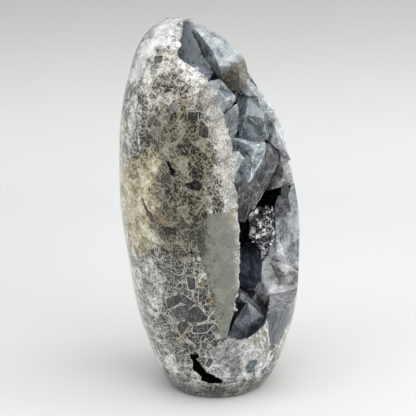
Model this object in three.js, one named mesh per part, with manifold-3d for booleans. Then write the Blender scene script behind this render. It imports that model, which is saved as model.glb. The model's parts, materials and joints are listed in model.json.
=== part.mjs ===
// A standing celestite geode: a polished rind with a natural mouth, and the crystals that grow in it.
// Millimetres, +Z up. The origin is the centre of the flat face that the stone rests on, and the
// mouth looks along -Y. The body leans back towards +Y as it rises.

import * as THREE from 'three';
import { ConvexGeometry } from 'three/addons/geometries/ConvexGeometry.js';
import { mergeVertices } from 'three/addons/utils/BufferGeometryUtils.js';
import Module from 'manifold-3d';

const wasm = await Module();
wasm.setup();

// ---- Driving dimensions -------------------------------------------------------------------------

const HEIGHT = 199;             // from the resting face to the apex
const LEAN = 23;                // how far the apex lies behind the centre of the base
const LEAN_POWER = 2.2;         // the lean grows towards the top
const WIDTH_FACTOR = 1.05;      // the body is a little wider in X than in Y
const GAP = 0.3;                // clearance where one piece is seated on another
const MERGE_DISTANCE = 0.0001;  // points closer than this are one point

// Half width of the body against its height, from the resting face to the apex.
const BODY_PROFILE = [
  [24.0, 0], [26.6, 1.2], [30.4, 7], [33.6, 14], [37.6, 26], [41.6, 39], [44.0, 53], [45.9, 75],
  [47.0, 92], [46.6, 108], [44.7, 124], [41.4, 143], [36.8, 158], [30.8, 172], [23.8, 185],
  [15.2, 194], [7.5, 197.8], [0, HEIGHT],
];
const BODY_RINGS = 26;
const BODY_SEGMENTS = 40;

// The hollow as a stack of ellipses: height, centre in Y, half width in X, half depth in Y.
// It has no width at its floor, and the same at its top, above the body.
const HOLLOW_RINGS = [
  [55.5, -20, 0, 0], [56.5, -20, 22, 23], [60, -21, 33, 37], [67, -22, 36.3, 43.5],
  [78, -21, 37, 46], [92, -20, 37.2, 47.5], [108, -19.5, 36.4, 47.5], [122, -18, 34.2, 46.5],
  [136, -16, 31.2, 45.5], [150, -14, 28.4, 43], [163, -10, 25.8, 40], [174, -6.5, 23, 36.5],
  [184, -2.5, 21.6, 31], [191, 1, 19, 26], [195.5, 4, 13, 19], [198, 7, 6, 11], [199.5, 8, 0, 0],
];
const HOLLOW_SEGMENTS = 28;
const FLOOR_SLOPE_X = 0.15;     // the floor of the hollow rises to the right
const FLOOR_SLOPE_Y = 0.1;      // and towards the back
const FLOOR_FADE = 70;          // height over which the slope dies away

// The lowest part of the hollow is a bowl at the left, which cuts the mouth's lower left corner.
const BOWL_CENTRE = new THREE.Vector3(-14, -20, 48);
const BOWL_HALF_SIZE = new THREE.Vector3(24.5, 20.5, 13);
const BOWL_SEGMENTS = [20, 10];

// The small dark vug near the foot: the two ends of its long axis, and its half width.
const VUG_TOP = new THREE.Vector3(-41, -1.5, 29);
const VUG_BOTTOM = new THREE.Vector3(-32, -15.5, 11);
const VUG_HALF_WIDTH = 5.5;
const VUG_SEGMENTS = [9, 6];

// A crystal has an eight-sided section and closes in a chisel edge.
const CORNER_CUT = 0.56;        // where the section's corners are cut, as a part of its half width
const SIDE_FACE = 0.5;          // height of the narrow side faces, as a part of the depth
const ROOT_SCALE = 0.94;        // crystals are a little thinner at the root
const CHISEL_LENGTH = 0.5;      // length of the chisel edge, as a part of the width

// ---- Materials ----------------------------------------------------------------------------------

const material = (color, roughness) =>
  new THREE.MeshStandardMaterial({ color, roughness, metalness: 0 });

const POLISHED_STONE = material(0x9a978e, 0.25);
const SLATE = material(0x4b5866, 0.15);
const BLUE_GREY = material(0x7d8b9b, 0.18);
const LAVENDER = material(0x98a3b5, 0.2);
const PALE = material(0xc3ccd3, 0.25);
const CLEAR = material(0xb4bcc2, 0.1);
const NAVY = material(0x222a38, 0.12);

// ---- Solids -------------------------------------------------------------------------------------

function toSolid(geometry) {
  const bare = geometry.clone();
  bare.deleteAttribute('normal');
  bare.deleteAttribute('uv');
  const merged = mergeVertices(bare, MERGE_DISTANCE);
  return new wasm.Manifold(new wasm.Mesh({
    numProp: 3,
    vertProperties: new Float32Array(merged.attributes.position.array),
    triVerts: new Uint32Array(merged.index.array),
  }));
}

// A named mesh of a solid, with its own origin.
function toMesh(solid, name, look, origin) {
  const { vertProperties, triVerts } = solid.getMesh();
  const geometry = new THREE.BufferGeometry();
  geometry.setAttribute('position', new THREE.BufferAttribute(new Float32Array(vertProperties), 3));
  geometry.setIndex(new THREE.BufferAttribute(new Uint32Array(triVerts), 1));
  geometry.translate(-origin.x, -origin.y, -origin.z);
  geometry.computeVertexNormals();
  const mesh = new THREE.Mesh(geometry, look);
  mesh.name = name;
  mesh.position.copy(origin);
  return mesh;
}

// Moves every point of a geometry by a function of its place.
function reshape(geometry, move) {
  const place = geometry.attributes.position;
  const point = new THREE.Vector3();
  for (let i = 0; i < place.count; i += 1) {
    point.fromBufferAttribute(place, i);
    move(point);
    place.setXYZ(i, point.x, point.y, point.z);
  }
  return geometry;
}

// A lathe turned about Z instead of Y.
function turned(profile, segments) {
  return new THREE.LatheGeometry(profile, segments).rotateX(Math.PI / 2);
}

const lean = (z) => LEAN * (Math.max(z, 0) / HEIGHT) ** LEAN_POWER;

function bodySolid() {
  const side = new THREE.SplineCurve(BODY_PROFILE.map(([r, z]) => new THREE.Vector2(r, z)));
  const profile = [new THREE.Vector2(0, 0), ...side.getSpacedPoints(BODY_RINGS)];
  profile[profile.length - 1].set(0, HEIGHT);
  const geometry = turned(profile, BODY_SEGMENTS);
  reshape(geometry, (p) => {
    p.x *= WIDTH_FACTOR;
    p.y += lean(p.z);
  });
  return toSolid(geometry);
}

// The hollow, or with a clearance the space that the crystals may take up in it.
function hollowSolid(clearance) {
  const last = HOLLOW_RINGS.length - 1;
  const profile = HOLLOW_RINGS.map((ring, i) => new THREE.Vector2(i === 0 || i === last ? 0 : 1, i));
  const floor = HOLLOW_RINGS[0][0];
  const geometry = turned(profile, HOLLOW_SEGMENTS);
  reshape(geometry, (p) => {
    const ring = Math.round(p.z);
    const [z, centre, halfWidth, halfDepth] = HOLLOW_RINGS[ring];
    const slope = Math.max(0, 1 - (z - floor) / FLOOR_FADE);
    const x = p.x * Math.max(halfWidth - clearance, 0);
    const y = centre + p.y * Math.max(halfDepth - clearance, 0);
    const inward = ring < last / 2 ? clearance : -clearance;
    const rise = slope * (FLOOR_SLOPE_X * x + FLOOR_SLOPE_Y * (y - centre));
    p.set(x, y, z + inward + rise);
  });
  return toSolid(geometry).add(bowlSolid(clearance));
}

function bowlSolid(clearance) {
  const half = BOWL_HALF_SIZE.clone().subScalar(clearance);
  const geometry = new THREE.SphereGeometry(1, ...BOWL_SEGMENTS).rotateX(Math.PI / 2);
  geometry.scale(half.x, half.y, half.z);
  geometry.translate(BOWL_CENTRE.x, BOWL_CENTRE.y, BOWL_CENTRE.z);
  return toSolid(geometry);
}

function vugSolid() {
  const axis = VUG_TOP.clone().sub(VUG_BOTTOM);
  const centre = VUG_TOP.clone().add(VUG_BOTTOM).multiplyScalar(0.5);
  const upright = new THREE.Vector3(0, 1, 0);
  const turn = new THREE.Quaternion().setFromUnitVectors(upright, axis.clone().normalize());
  const geometry = new THREE.SphereGeometry(1, ...VUG_SEGMENTS);
  geometry.scale(VUG_HALF_WIDTH, axis.length() / 2, VUG_HALF_WIDTH);
  geometry.applyQuaternion(turn);
  geometry.translate(centre.x, centre.y, centre.z);
  return toSolid(geometry);
}

// One crystal, from its root to its chisel edge. face is the way in which a broad face looks, roof
// is the height of the chisel as a part of the depth, and skew is the slant of its edge.
function crystalSolid({ root, tip, width, depth, face, roof, skew = 0 }, grow) {
  const start = new THREE.Vector3(...root);
  const end = new THREE.Vector3(...tip);
  const axis = end.clone().sub(start).normalize();
  const broad = new THREE.Vector3(...face);
  broad.addScaledVector(axis, -broad.dot(axis)).normalize();
  const across = new THREE.Vector3().crossVectors(axis, broad);
  const length = start.distanceTo(end) + grow;
  const halfWidth = width / 2 + grow;
  const halfDepth = depth / 2 + grow;
  const points = [];
  const add = (u, v, w) => points.push(start.clone()
    .addScaledVector(across, u)
    .addScaledVector(broad, v)
    .addScaledVector(axis, w));
  const addSection = (w, scale, slant) => {
    for (const u of [-halfWidth, halfWidth]) {
      for (const v of [-halfDepth, halfDepth]) {
        add(u * scale, v * SIDE_FACE * scale, w + slant * u);
        add(u * CORNER_CUT * scale, v * scale, w + slant * u * CORNER_CUT);
      }
    }
  };
  const edge = halfWidth * CHISEL_LENGTH;
  addSection(-grow, ROOT_SCALE, 0);
  addSection(length - roof * depth, 1, skew);
  add(-edge, 0, length - skew * edge);
  add(edge, 0, length + skew * edge);
  return toSolid(new ConvexGeometry(points));
}

// ---- Crystals -----------------------------------------------------------------------------------
// Each row is one piece: its name, its look and the crystals that are grown together in it. Each
// crystal has the place of its root in the wall, its tip, its width, its depth and its way to face.

const TO_LEFT = [-1, -0.3, 0.1];
const TO_FRONT = [-0.2, -1, 0.1];
const UPWARDS = [-0.3, -0.3, 1];

const CRYSTALS = [
  // Top of the mouth
  ['pale_clay_tipped_block', LAVENDER, [
    { root: [4, 20, 205], tip: [-3, -15, 167.5], width: 17, depth: 20, face: [-1, 0, 0.2], roof: 0.2 },
  ]],
  ['slate_blade', SLATE, [
    { root: [2, 24, 203], tip: [-3, 3.5, 172.5], width: 15, depth: 15, face: [-1, 0.1, 0], roof: 0.3 },
  ]],
  ['pale_blue_knob', BLUE_GREY, [
    { root: [-34, 4, 150], tip: [-12, -10.5, 166], width: 14, depth: 14, face: UPWARDS, roof: 0.35 },
    { root: [-30, 0, 148], tip: [-11, -8, 157], width: 9, depth: 9, face: TO_FRONT, roof: 0.5 },
  ]],
  // Upper half
  ['long_crossing_prism', SLATE, [
    { root: [38, -26, 138.7], tip: [-16, -18, 97.5], width: 13, depth: 12, face: TO_LEFT, roof: 0.3 },
  ]],
  ['large_blue_grey_block', SLATE, [
    { root: [30, 2, 140], tip: [-5, -18, 149], width: 21, depth: 28, face: UPWARDS, roof: 0.28 },
    { root: [12, 10, 132], tip: [-9, -11, 144], width: 10, depth: 14, face: TO_LEFT, roof: 0.6 },
  ]],
  ['outer_sloping_crystal', PALE, [
    { root: [26, 2, 166], tip: [3, -30, 153], width: 14, depth: 12, face: [-0.4, -0.2, 1], roof: 0.7 },
  ]],
  ['upper_right_facets', PALE, [
    { root: [34, -6, 130], tip: [7, -34, 139], width: 15, depth: 13, face: [-1, -1, 1], roof: 0.5 },
    { root: [34, -16, 122], tip: [12, -34, 130], width: 10, depth: 10, face: TO_FRONT, roof: 0.6 },
  ]],
  ['hanging_lavender_prism', LAVENDER, [
    { root: [8, -14.5, 142], tip: [-1, -14, 103], width: 15, depth: 12, face: TO_LEFT, roof: 0.4 },
  ]],
  ['clear_rim_crystal', CLEAR, [
    { root: [-37, -10, 122], tip: [-25.5, -24, 131], width: 10, depth: 7, face: TO_LEFT, roof: 0.6 },
  ]],
  // Right side
  ['pale_clear_block', CLEAR, [
    { root: [38, -18, 112], tip: [12, -35, 121], width: 14, depth: 13, face: TO_LEFT, roof: 0.3 },
  ]],
  ['grey_blue_right_crystal', BLUE_GREY, [
    { root: [41, -20, 91], tip: [21, -34, 98.5], width: 13, depth: 12, face: TO_LEFT, roof: 0.35 },
  ]],
  ['right_outline_cluster', PALE, [
    { root: [40, -22, 109], tip: [15, -37, 107], width: 12, depth: 13, face: TO_LEFT, roof: 0.5 },
    { root: [40, -22, 95], tip: [14, -40.5, 95], width: 13, depth: 13, face: TO_LEFT, roof: 0.4 },
    { root: [40, -22, 80], tip: [14, -40.5, 82], width: 13, depth: 13, face: TO_LEFT, roof: 0.5 },
  ]],
  ['lower_right_cluster', PALE, [
    { root: [40, -12, 68], tip: [11, -30, 70], width: 13, depth: 12, face: TO_LEFT, roof: 0.4 },
    { root: [38, -24, 66], tip: [9, -41, 69], width: 13, depth: 13, face: [-0.8, -0.5, 0.4], roof: 0.4 },
    { root: [36, -12, 58], tip: [6, -28, 61], width: 12, depth: 12, face: UPWARDS, roof: 0.5 },
  ]],
  ['clear_slanting_prism', CLEAR, [
    { root: [14, -20, 67], tip: [3, -45, 63], width: 11, depth: 9, face: TO_LEFT, roof: 0.4 },
  ]],
  // Floor
  ['upright_navy_prism', NAVY, [
    { root: [4, -12, 32], tip: [0, -19.5, 80.5], width: 14, depth: 13, face: TO_LEFT, roof: 0.2 },
  ]],
  ['slate_floor_crystal', SLATE, [
    { root: [-24, -15, 28], tip: [-12.5, -28, 51], width: 18, depth: 13, face: TO_LEFT, roof: 0.3 },
  ]],
];

// The crystals of the left and back walls stand in rows, one above another, and point inwards.
const WALL_ROWS = [63, 81, 99, 117, 136, 154, 171];
const WALL_COUNT = 4;           // in each row
const WALL_FIRST_TURN = 74;     // degrees round the hollow, where 90 is the back and 180 the left
const WALL_TURN_STEP = 25;
const WALL_STAGGER = 12;        // every other row is turned on by this
const WALL_LOOKS = [BLUE_GREY, SLATE, LAVENDER, BLUE_GREY, PALE];
const WALL_WIDTH = 16;
const WALL_DEPTH = 0.86;        // as a part of the width
const WALL_REACH = 22;          // from the wall to the tip
const WALL_REACH_LOSS = 0.06;   // the crystals get shorter from each place in a row to the next
const WALL_ROOT = 6;            // from the wall back to the root
const WALL_RISE = 0.25;         // how steeply the crystals rise
const WALL_ROOF = 0.5;
const FULL_SIZE_HALF_WIDTH = 32; // crystals are smaller where the hollow is narrower than this
const LEAST_SIZE = 0.45;

// How far the wall crystals differ from one another, each way.
const DIFFERENCE = {
  turn: 4,
  height: 3,
  rise: 0.35,
  swing: 0.3,
  size: 0.14,
  depth: 0.1,
  roof: 0.15,
  skew: 0.35,
};
const WALL_SEED = 7;

const differ = (most) => most * (2 * THREE.MathUtils.seededRandom() - 1);

// The height, the centre and the half sizes of the hollow at a height.
function hollowAt(height) {
  const above = HOLLOW_RINGS.findIndex(([z]) => z > height);
  const [low, high] = [HOLLOW_RINGS[above - 1], HOLLOW_RINGS[above]];
  const part = (height - low[0]) / (high[0] - low[0]);
  return low.map((value, i) => value + part * (high[i] - value));
}

function wallCrystal(row, place) {
  const stagger = (row % 2) * WALL_STAGGER;
  const degrees = WALL_FIRST_TURN + stagger + place * WALL_TURN_STEP + differ(DIFFERENCE.turn);
  const turn = THREE.MathUtils.degToRad(degrees);
  const level = WALL_ROWS[row] + differ(DIFFERENCE.height);
  const [height, centre, halfWidth, halfDepth] = hollowAt(level);
  const rise = WALL_RISE + differ(DIFFERENCE.rise);
  const inward = new THREE.Vector3(-Math.cos(turn), -Math.sin(turn), rise).normalize();
  inward.applyAxisAngle(new THREE.Vector3(0, 0, 1), differ(DIFFERENCE.swing));
  const room = LEAST_SIZE + (1 - LEAST_SIZE) * Math.min(1, halfWidth / FULL_SIZE_HALF_WIDTH);
  const size = room * (1 + differ(DIFFERENCE.size));
  const reach = WALL_REACH * size * (1 - WALL_REACH_LOSS * place);
  const wall = new THREE.Vector3(
    halfWidth * Math.cos(turn),
    centre + halfDepth * Math.sin(turn),
    height,
  );
  return {
    root: wall.clone().addScaledVector(inward, -WALL_ROOT).toArray(),
    tip: wall.clone().addScaledVector(inward, reach).toArray(),
    width: WALL_WIDTH * size,
    depth: WALL_WIDTH * size * (WALL_DEPTH + differ(DIFFERENCE.depth)),
    face: [differ(1), differ(1), 1],
    roof: WALL_ROOF + differ(DIFFERENCE.roof),
    skew: differ(DIFFERENCE.skew),
  };
}

THREE.MathUtils.seededRandom(WALL_SEED);
for (let row = 0; row < WALL_ROWS.length; row += 1) {
  for (let place = 0; place < WALL_COUNT; place += 1) {
    const look = WALL_LOOKS[(row * WALL_COUNT + place) % WALL_LOOKS.length];
    CRYSTALS.push([`wall_crystal_${row + 1}_${place + 1}`, look, [wallCrystal(row, place)]]);
  }
}

// A crystal that is cut off by its neighbours keeps its larger part.
function largestPart(solid) {
  return solid.decompose().reduce((best, part) => (part.volume() > best.volume() ? part : best));
}

// ---- The geode ----------------------------------------------------------------------------------

const geode = new THREE.Group();
geode.name = 'celestite_geode';

const body = bodySolid();
const rind = body.subtract(hollowSolid(0)).subtract(vugSolid());
geode.add(toMesh(rind, 'polished_rind', POLISHED_STONE, new THREE.Vector3(0, 0, 0)));

// A crystal grows only in the hollow, and stops at the crystals that were there before it.
const room = hollowSolid(GAP).intersect(body);
let taken = null;
for (const [name, look, crystals] of CRYSTALS) {
  const join = (grow) => crystals
    .map((crystal) => crystalSolid(crystal, grow))
    .reduce((joined, solid) => joined.add(solid));
  const grown = join(0).intersect(room);
  const piece = largestPart(taken ? grown.subtract(taken) : grown);
  geode.add(toMesh(piece, name, look, new THREE.Vector3(...crystals[0].tip)));
  taken = taken ? taken.add(join(GAP)) : join(GAP);
}

export default geode;
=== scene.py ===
"""Looks of a standing, polished celestite geode with a natural mouth of crystals.

The rind is turned again at a finer pitch than its CAD solid, hollowed out and lined with druse. The
crystals that the photograph shows are built again from their corners, as they show there. The hidden ones
keep their CAD shape, rooted a little deeper in the rock. All of them have worn edges and uneven faces.
Their bevelled edges are painted lighter, as chipped edges and as painted highlights, and their faces that
look one way are painted lighter, as painted light.
Lengths in the constants are in mm unless they say m, and the scene is in metres.
"""

import json
import math
from collections import namedtuple

import bmesh
import bpy
import numpy as np
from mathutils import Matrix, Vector


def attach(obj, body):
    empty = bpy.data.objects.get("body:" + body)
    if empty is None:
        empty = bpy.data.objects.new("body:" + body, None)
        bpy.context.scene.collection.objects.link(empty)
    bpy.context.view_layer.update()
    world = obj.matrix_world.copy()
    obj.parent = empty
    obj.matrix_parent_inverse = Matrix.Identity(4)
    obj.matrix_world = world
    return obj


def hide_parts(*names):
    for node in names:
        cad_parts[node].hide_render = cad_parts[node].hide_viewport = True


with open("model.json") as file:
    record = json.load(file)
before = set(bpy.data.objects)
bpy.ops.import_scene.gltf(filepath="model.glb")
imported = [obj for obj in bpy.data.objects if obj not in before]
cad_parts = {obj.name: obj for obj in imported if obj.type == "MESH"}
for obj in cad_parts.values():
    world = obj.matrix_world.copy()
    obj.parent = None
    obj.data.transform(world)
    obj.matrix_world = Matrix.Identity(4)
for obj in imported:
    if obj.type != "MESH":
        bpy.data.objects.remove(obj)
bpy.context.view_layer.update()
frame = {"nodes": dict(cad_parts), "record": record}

MM = 0.001
WHOLE_TURN = 6.28               # radians
RNG = np.random.default_rng(11)

# ---- Camera -----------------------------------------------------------------------------------------

CAMERA_PLACE = (-0.67463, -0.28039, 0.30788)  # m
CAMERA_TARGET = (-0.002149, 0.005063, 0.0984)  # m
LENS = 122.93                   # mm
SENSOR = 36                     # mm
NEAREST = 0.05                  # m, the least distance that the camera sees at

SIGHT = Vector(CAMERA_PLACE) - Vector(CAMERA_TARGET)
SIGHT_LENGTH = SIGHT.length / MM
SIGHT_BACK = SIGHT.normalized()
SIGHT_RIGHT = Vector((0, 0, 1)).cross(SIGHT_BACK).normalized()
SIGHT_UP = SIGHT_BACK.cross(SIGHT_RIGHT)


def seen(right, up, x):
    """The place at this x that shows so far right of the picture's middle and above it.

    All three are in mm. Right and up are measured where the stone stands.
    """
    start = Vector(CAMERA_PLACE) / MM
    ray = SIGHT_RIGHT * right + SIGHT_UP * up - SIGHT_BACK * SIGHT_LENGTH
    return start + ray * ((x - start.x) / ray.x)


# ---- The rind: half width against height, lean, and the hollow's ellipses ---------------------------

HEIGHT = 199                    # mm
LEAN = 23                       # mm, how far back the apex leans
LEAN_POWER = 2.2                # how late up the body the lean sets in
WIDTH_FACTOR = 1.05             # the body's width against its depth
# radius and height, in mm
BODY_PROFILE = [
    (24.0, 0), (26.6, 1.2), (30.4, 7), (33.6, 14), (37.6, 26), (41.6, 39), (44.0, 53), (45.9, 75),
    (47.0, 92), (46.6, 108), (44.7, 124), (41.4, 143), (36.8, 158), (30.8, 172), (23.8, 185),
    (15.2, 194), (7.5, 197.8), (0, HEIGHT),
]
# height, centre in Y, half width in X, half depth in Y, in mm
HOLLOW_RINGS = [
    (55.5, -20, 0, 0), (56.5, -20, 22, 23), (60, -21, 33, 37), (67, -22, 36.3, 43.5),
    (78, -21, 37, 46), (92, -20, 37.2, 47.5), (108, -19.5, 36.4, 47.5), (122, -18, 34.2, 46.5),
    (136, -16, 31.2, 45.5), (150, -14, 28.4, 43), (163, -10, 25.8, 40), (174, -6.5, 23, 36.5),
    (184, -2.5, 21.6, 31), (191, 2, 19, 28), (195.5, 6, 13, 21), (198, 9, 7, 14), (199.5, 10, 0, 0),
]
FLOOR_SLOPE_X = 0.15            # how steeply the hollow's floor rises along X
FLOOR_SLOPE_Y = 0.1             # and along Y
FLOOR_FADE = 70                 # mm above the floor, where its slope has gone
BITE_HEIGHT = 183               # mm, where the left rim is bitten back
BITE_LENGTH = 7                 # mm
BITE_DEPTH = 4.0                # mm
OPEN_FROM = 176                 # mm, where the right rim begins to open for the topmost crystals
OPEN_TO = 188                   # mm, where it is fully open
OPEN_DEPTH = 7                  # mm
VUG_TOP = (-41, -1.5, 29)       # mm, the upper end of the vug's mouth
VUG_BOTTOM = (-32, -15.5, 11)   # mm, its lower end

OUTLINE_STEPS = 1200            # how finely the outline is worked out before it is spaced evenly
BODY_RINGS = 170
BODY_SEGMENTS = 264
HOLLOW_RING_COUNT = 150
HOLLOW_SEGMENTS = 280
DRUSE_DEPTH = 3.2               # mm that the druse fills between the rock and the free hollow
FLOOR_RINGS = 4                 # the lowest rings of the hollow, let down to make room for the druse
ROCK_COVER = (0.5, 8)           # mm under the outside, between which the wall is set back for the druse
RAGGED_COVER = (0.5, 4)         # mm under the outside, between which the wall becomes less ragged
RAGGED = ((2.2, 0.55), (1.1, 0.35))  # mm, the size and the depth of the ragged places on the wall
GROUND_DEPTH = 0.12             # mm, how near the outside a ground surface lies


def body_outline():
    """Radius and height of the body from its resting face to its apex, evenly spaced."""
    points = np.array(BODY_PROFILE, float)
    count = len(points)
    fine = []
    for step in np.linspace(0, count - 1, OUTLINE_STEPS):
        i = min(int(step), count - 2)
        t = step - i
        p0, p1, p2, p3 = (points[max(0, min(count - 1, i + k))] for k in (-1, 0, 1, 2))
        v0, v1 = (p2 - p0) / 2, (p3 - p1) / 2
        cubic = (2 * p1 - 2 * p2 + v0 + v1) * t ** 3
        fine.append(cubic + (-3 * p1 + 3 * p2 - 2 * v0 - v1) * t ** 2 + v0 * t + p1)
    fine = np.array(fine)
    length = np.concatenate([[0], np.cumsum(np.linalg.norm(np.diff(fine, axis=0), axis=1))])
    even = np.linspace(0, length[-1], BODY_RINGS + 1)
    return np.interp(even, length, fine[:, 0]), np.interp(even, length, fine[:, 1])


OUTLINE_RADIUS, OUTLINE_HEIGHT = body_outline()


def body_radius(height):
    return np.interp(height, OUTLINE_HEIGHT, OUTLINE_RADIUS)


def lean(height):
    return LEAN * (np.clip(height, 0, None) / HEIGHT) ** LEAN_POWER


def hollow_ellipse(heights):
    """The hollow's ellipse at heights: its centre in Y, half its width and half its depth, in mm."""
    table = np.array(HOLLOW_RINGS, float)
    return tuple(np.interp(heights, table[:, 0], table[:, k]) for k in (1, 2, 3))


def inside_depth(points):
    """How deep points lie under the body's surface, measured level, in mm."""
    x = points[:, 0] / WIDTH_FACTOR
    y = points[:, 1] - lean(points[:, 2])
    return body_radius(points[:, 2]) - np.hypot(x, y)


def smoothstep(low, high, value):
    t = np.clip((value - low) / (high - low), 0, 1)
    return t * t * (3 - 2 * t)


def hash_noise(points, scale, seed):
    """Smooth value noise from -1 to 1 at points, in mm, with features about scale mm wide."""
    q = points / scale + 57.3 * seed
    cell = np.floor(q).astype(np.int64)
    f = q - cell
    f = f * f * (3 - 2 * f)
    total = np.zeros(len(points))
    for dx in (0, 1):
        for dy in (0, 1):
            for dz in (0, 1):
                c = cell + (dx, dy, dz)
                mixed = c[:, 0] * 73856093 ^ c[:, 1] * 19349663 ^ c[:, 2] * 83492791
                mixed = (mixed ^ (mixed >> 13)) * 1274126177
                value = (mixed & 0xFFFFFF) / 0xFFFFFF * 2 - 1
                weight = np.where(dx, f[:, 0], 1 - f[:, 0])
                weight = weight * np.where(dy, f[:, 1], 1 - f[:, 1])
                weight = weight * np.where(dz, f[:, 2], 1 - f[:, 2])
                total += value * weight
    return total


# ---- Meshes -----------------------------------------------------------------------------------------

def add_object(name, data):
    obj = bpy.data.objects.new(name, data)
    bpy.context.scene.collection.objects.link(obj)
    return obj


def new_object(name, vertices, faces):
    """An object of a mesh whose vertices are in mm."""
    mesh = bpy.data.meshes.new(name)
    mesh.from_pydata([tuple(v) for v in np.asarray(vertices) * MM], [], faces)
    mesh.update()
    return add_object(name, mesh)


def ring_faces(rings, segments):
    """Quads between rings of vertices that follow one another."""
    faces = []
    for r in range(rings - 1):
        for s in range(segments):
            a = r * segments + s
            b = r * segments + (s + 1) % segments
            faces.append((a, b, b + segments, a + segments))
    return faces


def capped(name, rings):
    """A closed solid from a (rings, segments, 3) array, with a point at the middle of each end."""
    count, segments, _ = rings.shape
    vertices = rings.reshape(-1, 3)
    low, high = rings[0].mean(axis=0), rings[-1].mean(axis=0)
    vertices = np.vstack([vertices, low, high])
    faces = ring_faces(count, segments)
    bottom, top, last = count * segments, count * segments + 1, (count - 1) * segments
    for s in range(segments):
        n = (s + 1) % segments
        faces.append((n, s, bottom))
        faces.append((last + s, last + n, top))
    return new_object(name, vertices, faces)


BODY_FIT = 0.9994               # keeps the smooth body within the faceted one of the frame


def body_object():
    turns = np.linspace(0, 2 * np.pi, BODY_SEGMENTS, endpoint=False)
    radius = OUTLINE_RADIUS[:-1, None] * BODY_FIT
    height = OUTLINE_HEIGHT[:-1, None] + 0 * turns
    rings = np.stack([
        WIDTH_FACTOR * radius * np.cos(turns),
        radius * np.sin(turns) + lean(height),
        height,
    ], axis=-1)
    return capped("polished_stone_rind", rings)


def hollow_points(heights, turns):
    """Points of the rock behind the druse, and the level way outwards at each of them."""
    centre, half_x, half_y = hollow_ellipse(heights)
    slope = np.clip(1 - (heights - HOLLOW_RINGS[0][0]) / FLOOR_FADE, 0, 1)
    x = half_x * np.cos(turns)
    dy = half_y * np.sin(turns)
    rise = slope * (FLOOR_SLOPE_X * x + FLOOR_SLOPE_Y * dy)
    points = np.stack([x, centre + dy, heights + rise], axis=-1)
    out = np.stack([np.cos(turns), np.sin(turns) * half_x / np.maximum(half_y, 1), 0 * turns], axis=-1)
    out /= np.linalg.norm(out, axis=-1, keepdims=True)
    flat = points.reshape(-1, 3)
    push = DRUSE_DEPTH * smoothstep(*ROCK_COVER, inside_depth(flat)).reshape(heights.shape)
    rough = sum(depth * hash_noise(flat, size, seed) for seed, (size, depth) in enumerate(RAGGED, 1))
    ragged = 1 - 0.4 * smoothstep(*RAGGED_COVER, inside_depth(flat))
    push = push + (rough * ragged).reshape(push.shape)
    bite = np.exp(-((heights - BITE_HEIGHT) / BITE_LENGTH) ** 2) * smoothstep(0, 1, -np.cos(turns))
    push = push + BITE_DEPTH * bite
    open_top = smoothstep(OPEN_FROM, OPEN_TO, heights) * smoothstep(-0.2, 0.6, np.cos(turns))
    push = push + OPEN_DEPTH * open_top
    return points + out * push[..., None], out


def hollow_object():
    turns = np.linspace(0, 2 * np.pi, HOLLOW_SEGMENTS, endpoint=False)
    low, high = HOLLOW_RINGS[1][0], HOLLOW_RINGS[-2][0]
    heights = np.linspace(low, high, HOLLOW_RING_COUNT)
    grid = heights[:, None] + 0 * turns
    rings, _ = hollow_points(grid, turns[None, :] + 0 * grid)
    let_down = 1 - np.arange(FLOOR_RINGS) / FLOOR_RINGS
    rings[:FLOOR_RINGS, :, 2] -= DRUSE_DEPTH * let_down[:, None]
    return capped("hollow", rings)


def hull_object(name, points):
    """A solid over corners given in mm."""
    bm = bmesh.new()
    for point in points:
        bm.verts.new(Vector(point) * MM)
    hull = bmesh.ops.convex_hull(bm, input=bm.verts)
    inside = [v for v in hull["geom_interior"] if isinstance(v, bmesh.types.BMVert)]
    bmesh.ops.delete(bm, geom=inside, context="VERTS")
    bmesh.ops.recalc_face_normals(bm, faces=bm.faces)
    mesh = bpy.data.meshes.new(name)
    bm.to_mesh(mesh)
    bm.free()
    return add_object(name, mesh)


def boolean(obj, cutter, operation="DIFFERENCE"):
    modifier = obj.modifiers.new("cut", "BOOLEAN")
    modifier.operation = operation
    modifier.solver = "MANIFOLD"
    modifier.object = cutter
    graph = bpy.context.evaluated_depsgraph_get()
    mesh = bpy.data.meshes.new_from_object(obj.evaluated_get(graph))
    obj.modifiers.clear()
    old = obj.data
    obj.data = mesh
    bpy.data.meshes.remove(old)
    bpy.data.objects.remove(cutter)


def axis_rotation(axis):
    return Vector(axis).normalized().to_track_quat("Z", "Y").to_matrix()


def vectors_of(items, name):
    """The vectors of this name that the vertices or faces of a mesh have."""
    out = np.empty(len(items) * 3)
    items.foreach_get(name, out)
    return out.reshape(-1, 3)


def points_of(mesh):
    return vectors_of(mesh.vertices, "co") / MM


def push_along_normals(bm, distance):
    """Moves vertices along their normals, by what distance says for their places, in mm."""
    bm.normal_update()
    places = np.array([v.co[:] for v in bm.verts]) / MM
    normals = np.array([v.normal[:] for v in bm.verts])
    for vertex, place in zip(bm.verts, places + normals * distance(places)[:, None]):
        vertex.co = Vector(place) * MM


# ---- Material helpers ---------------------------------------------------------------------------------

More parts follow.
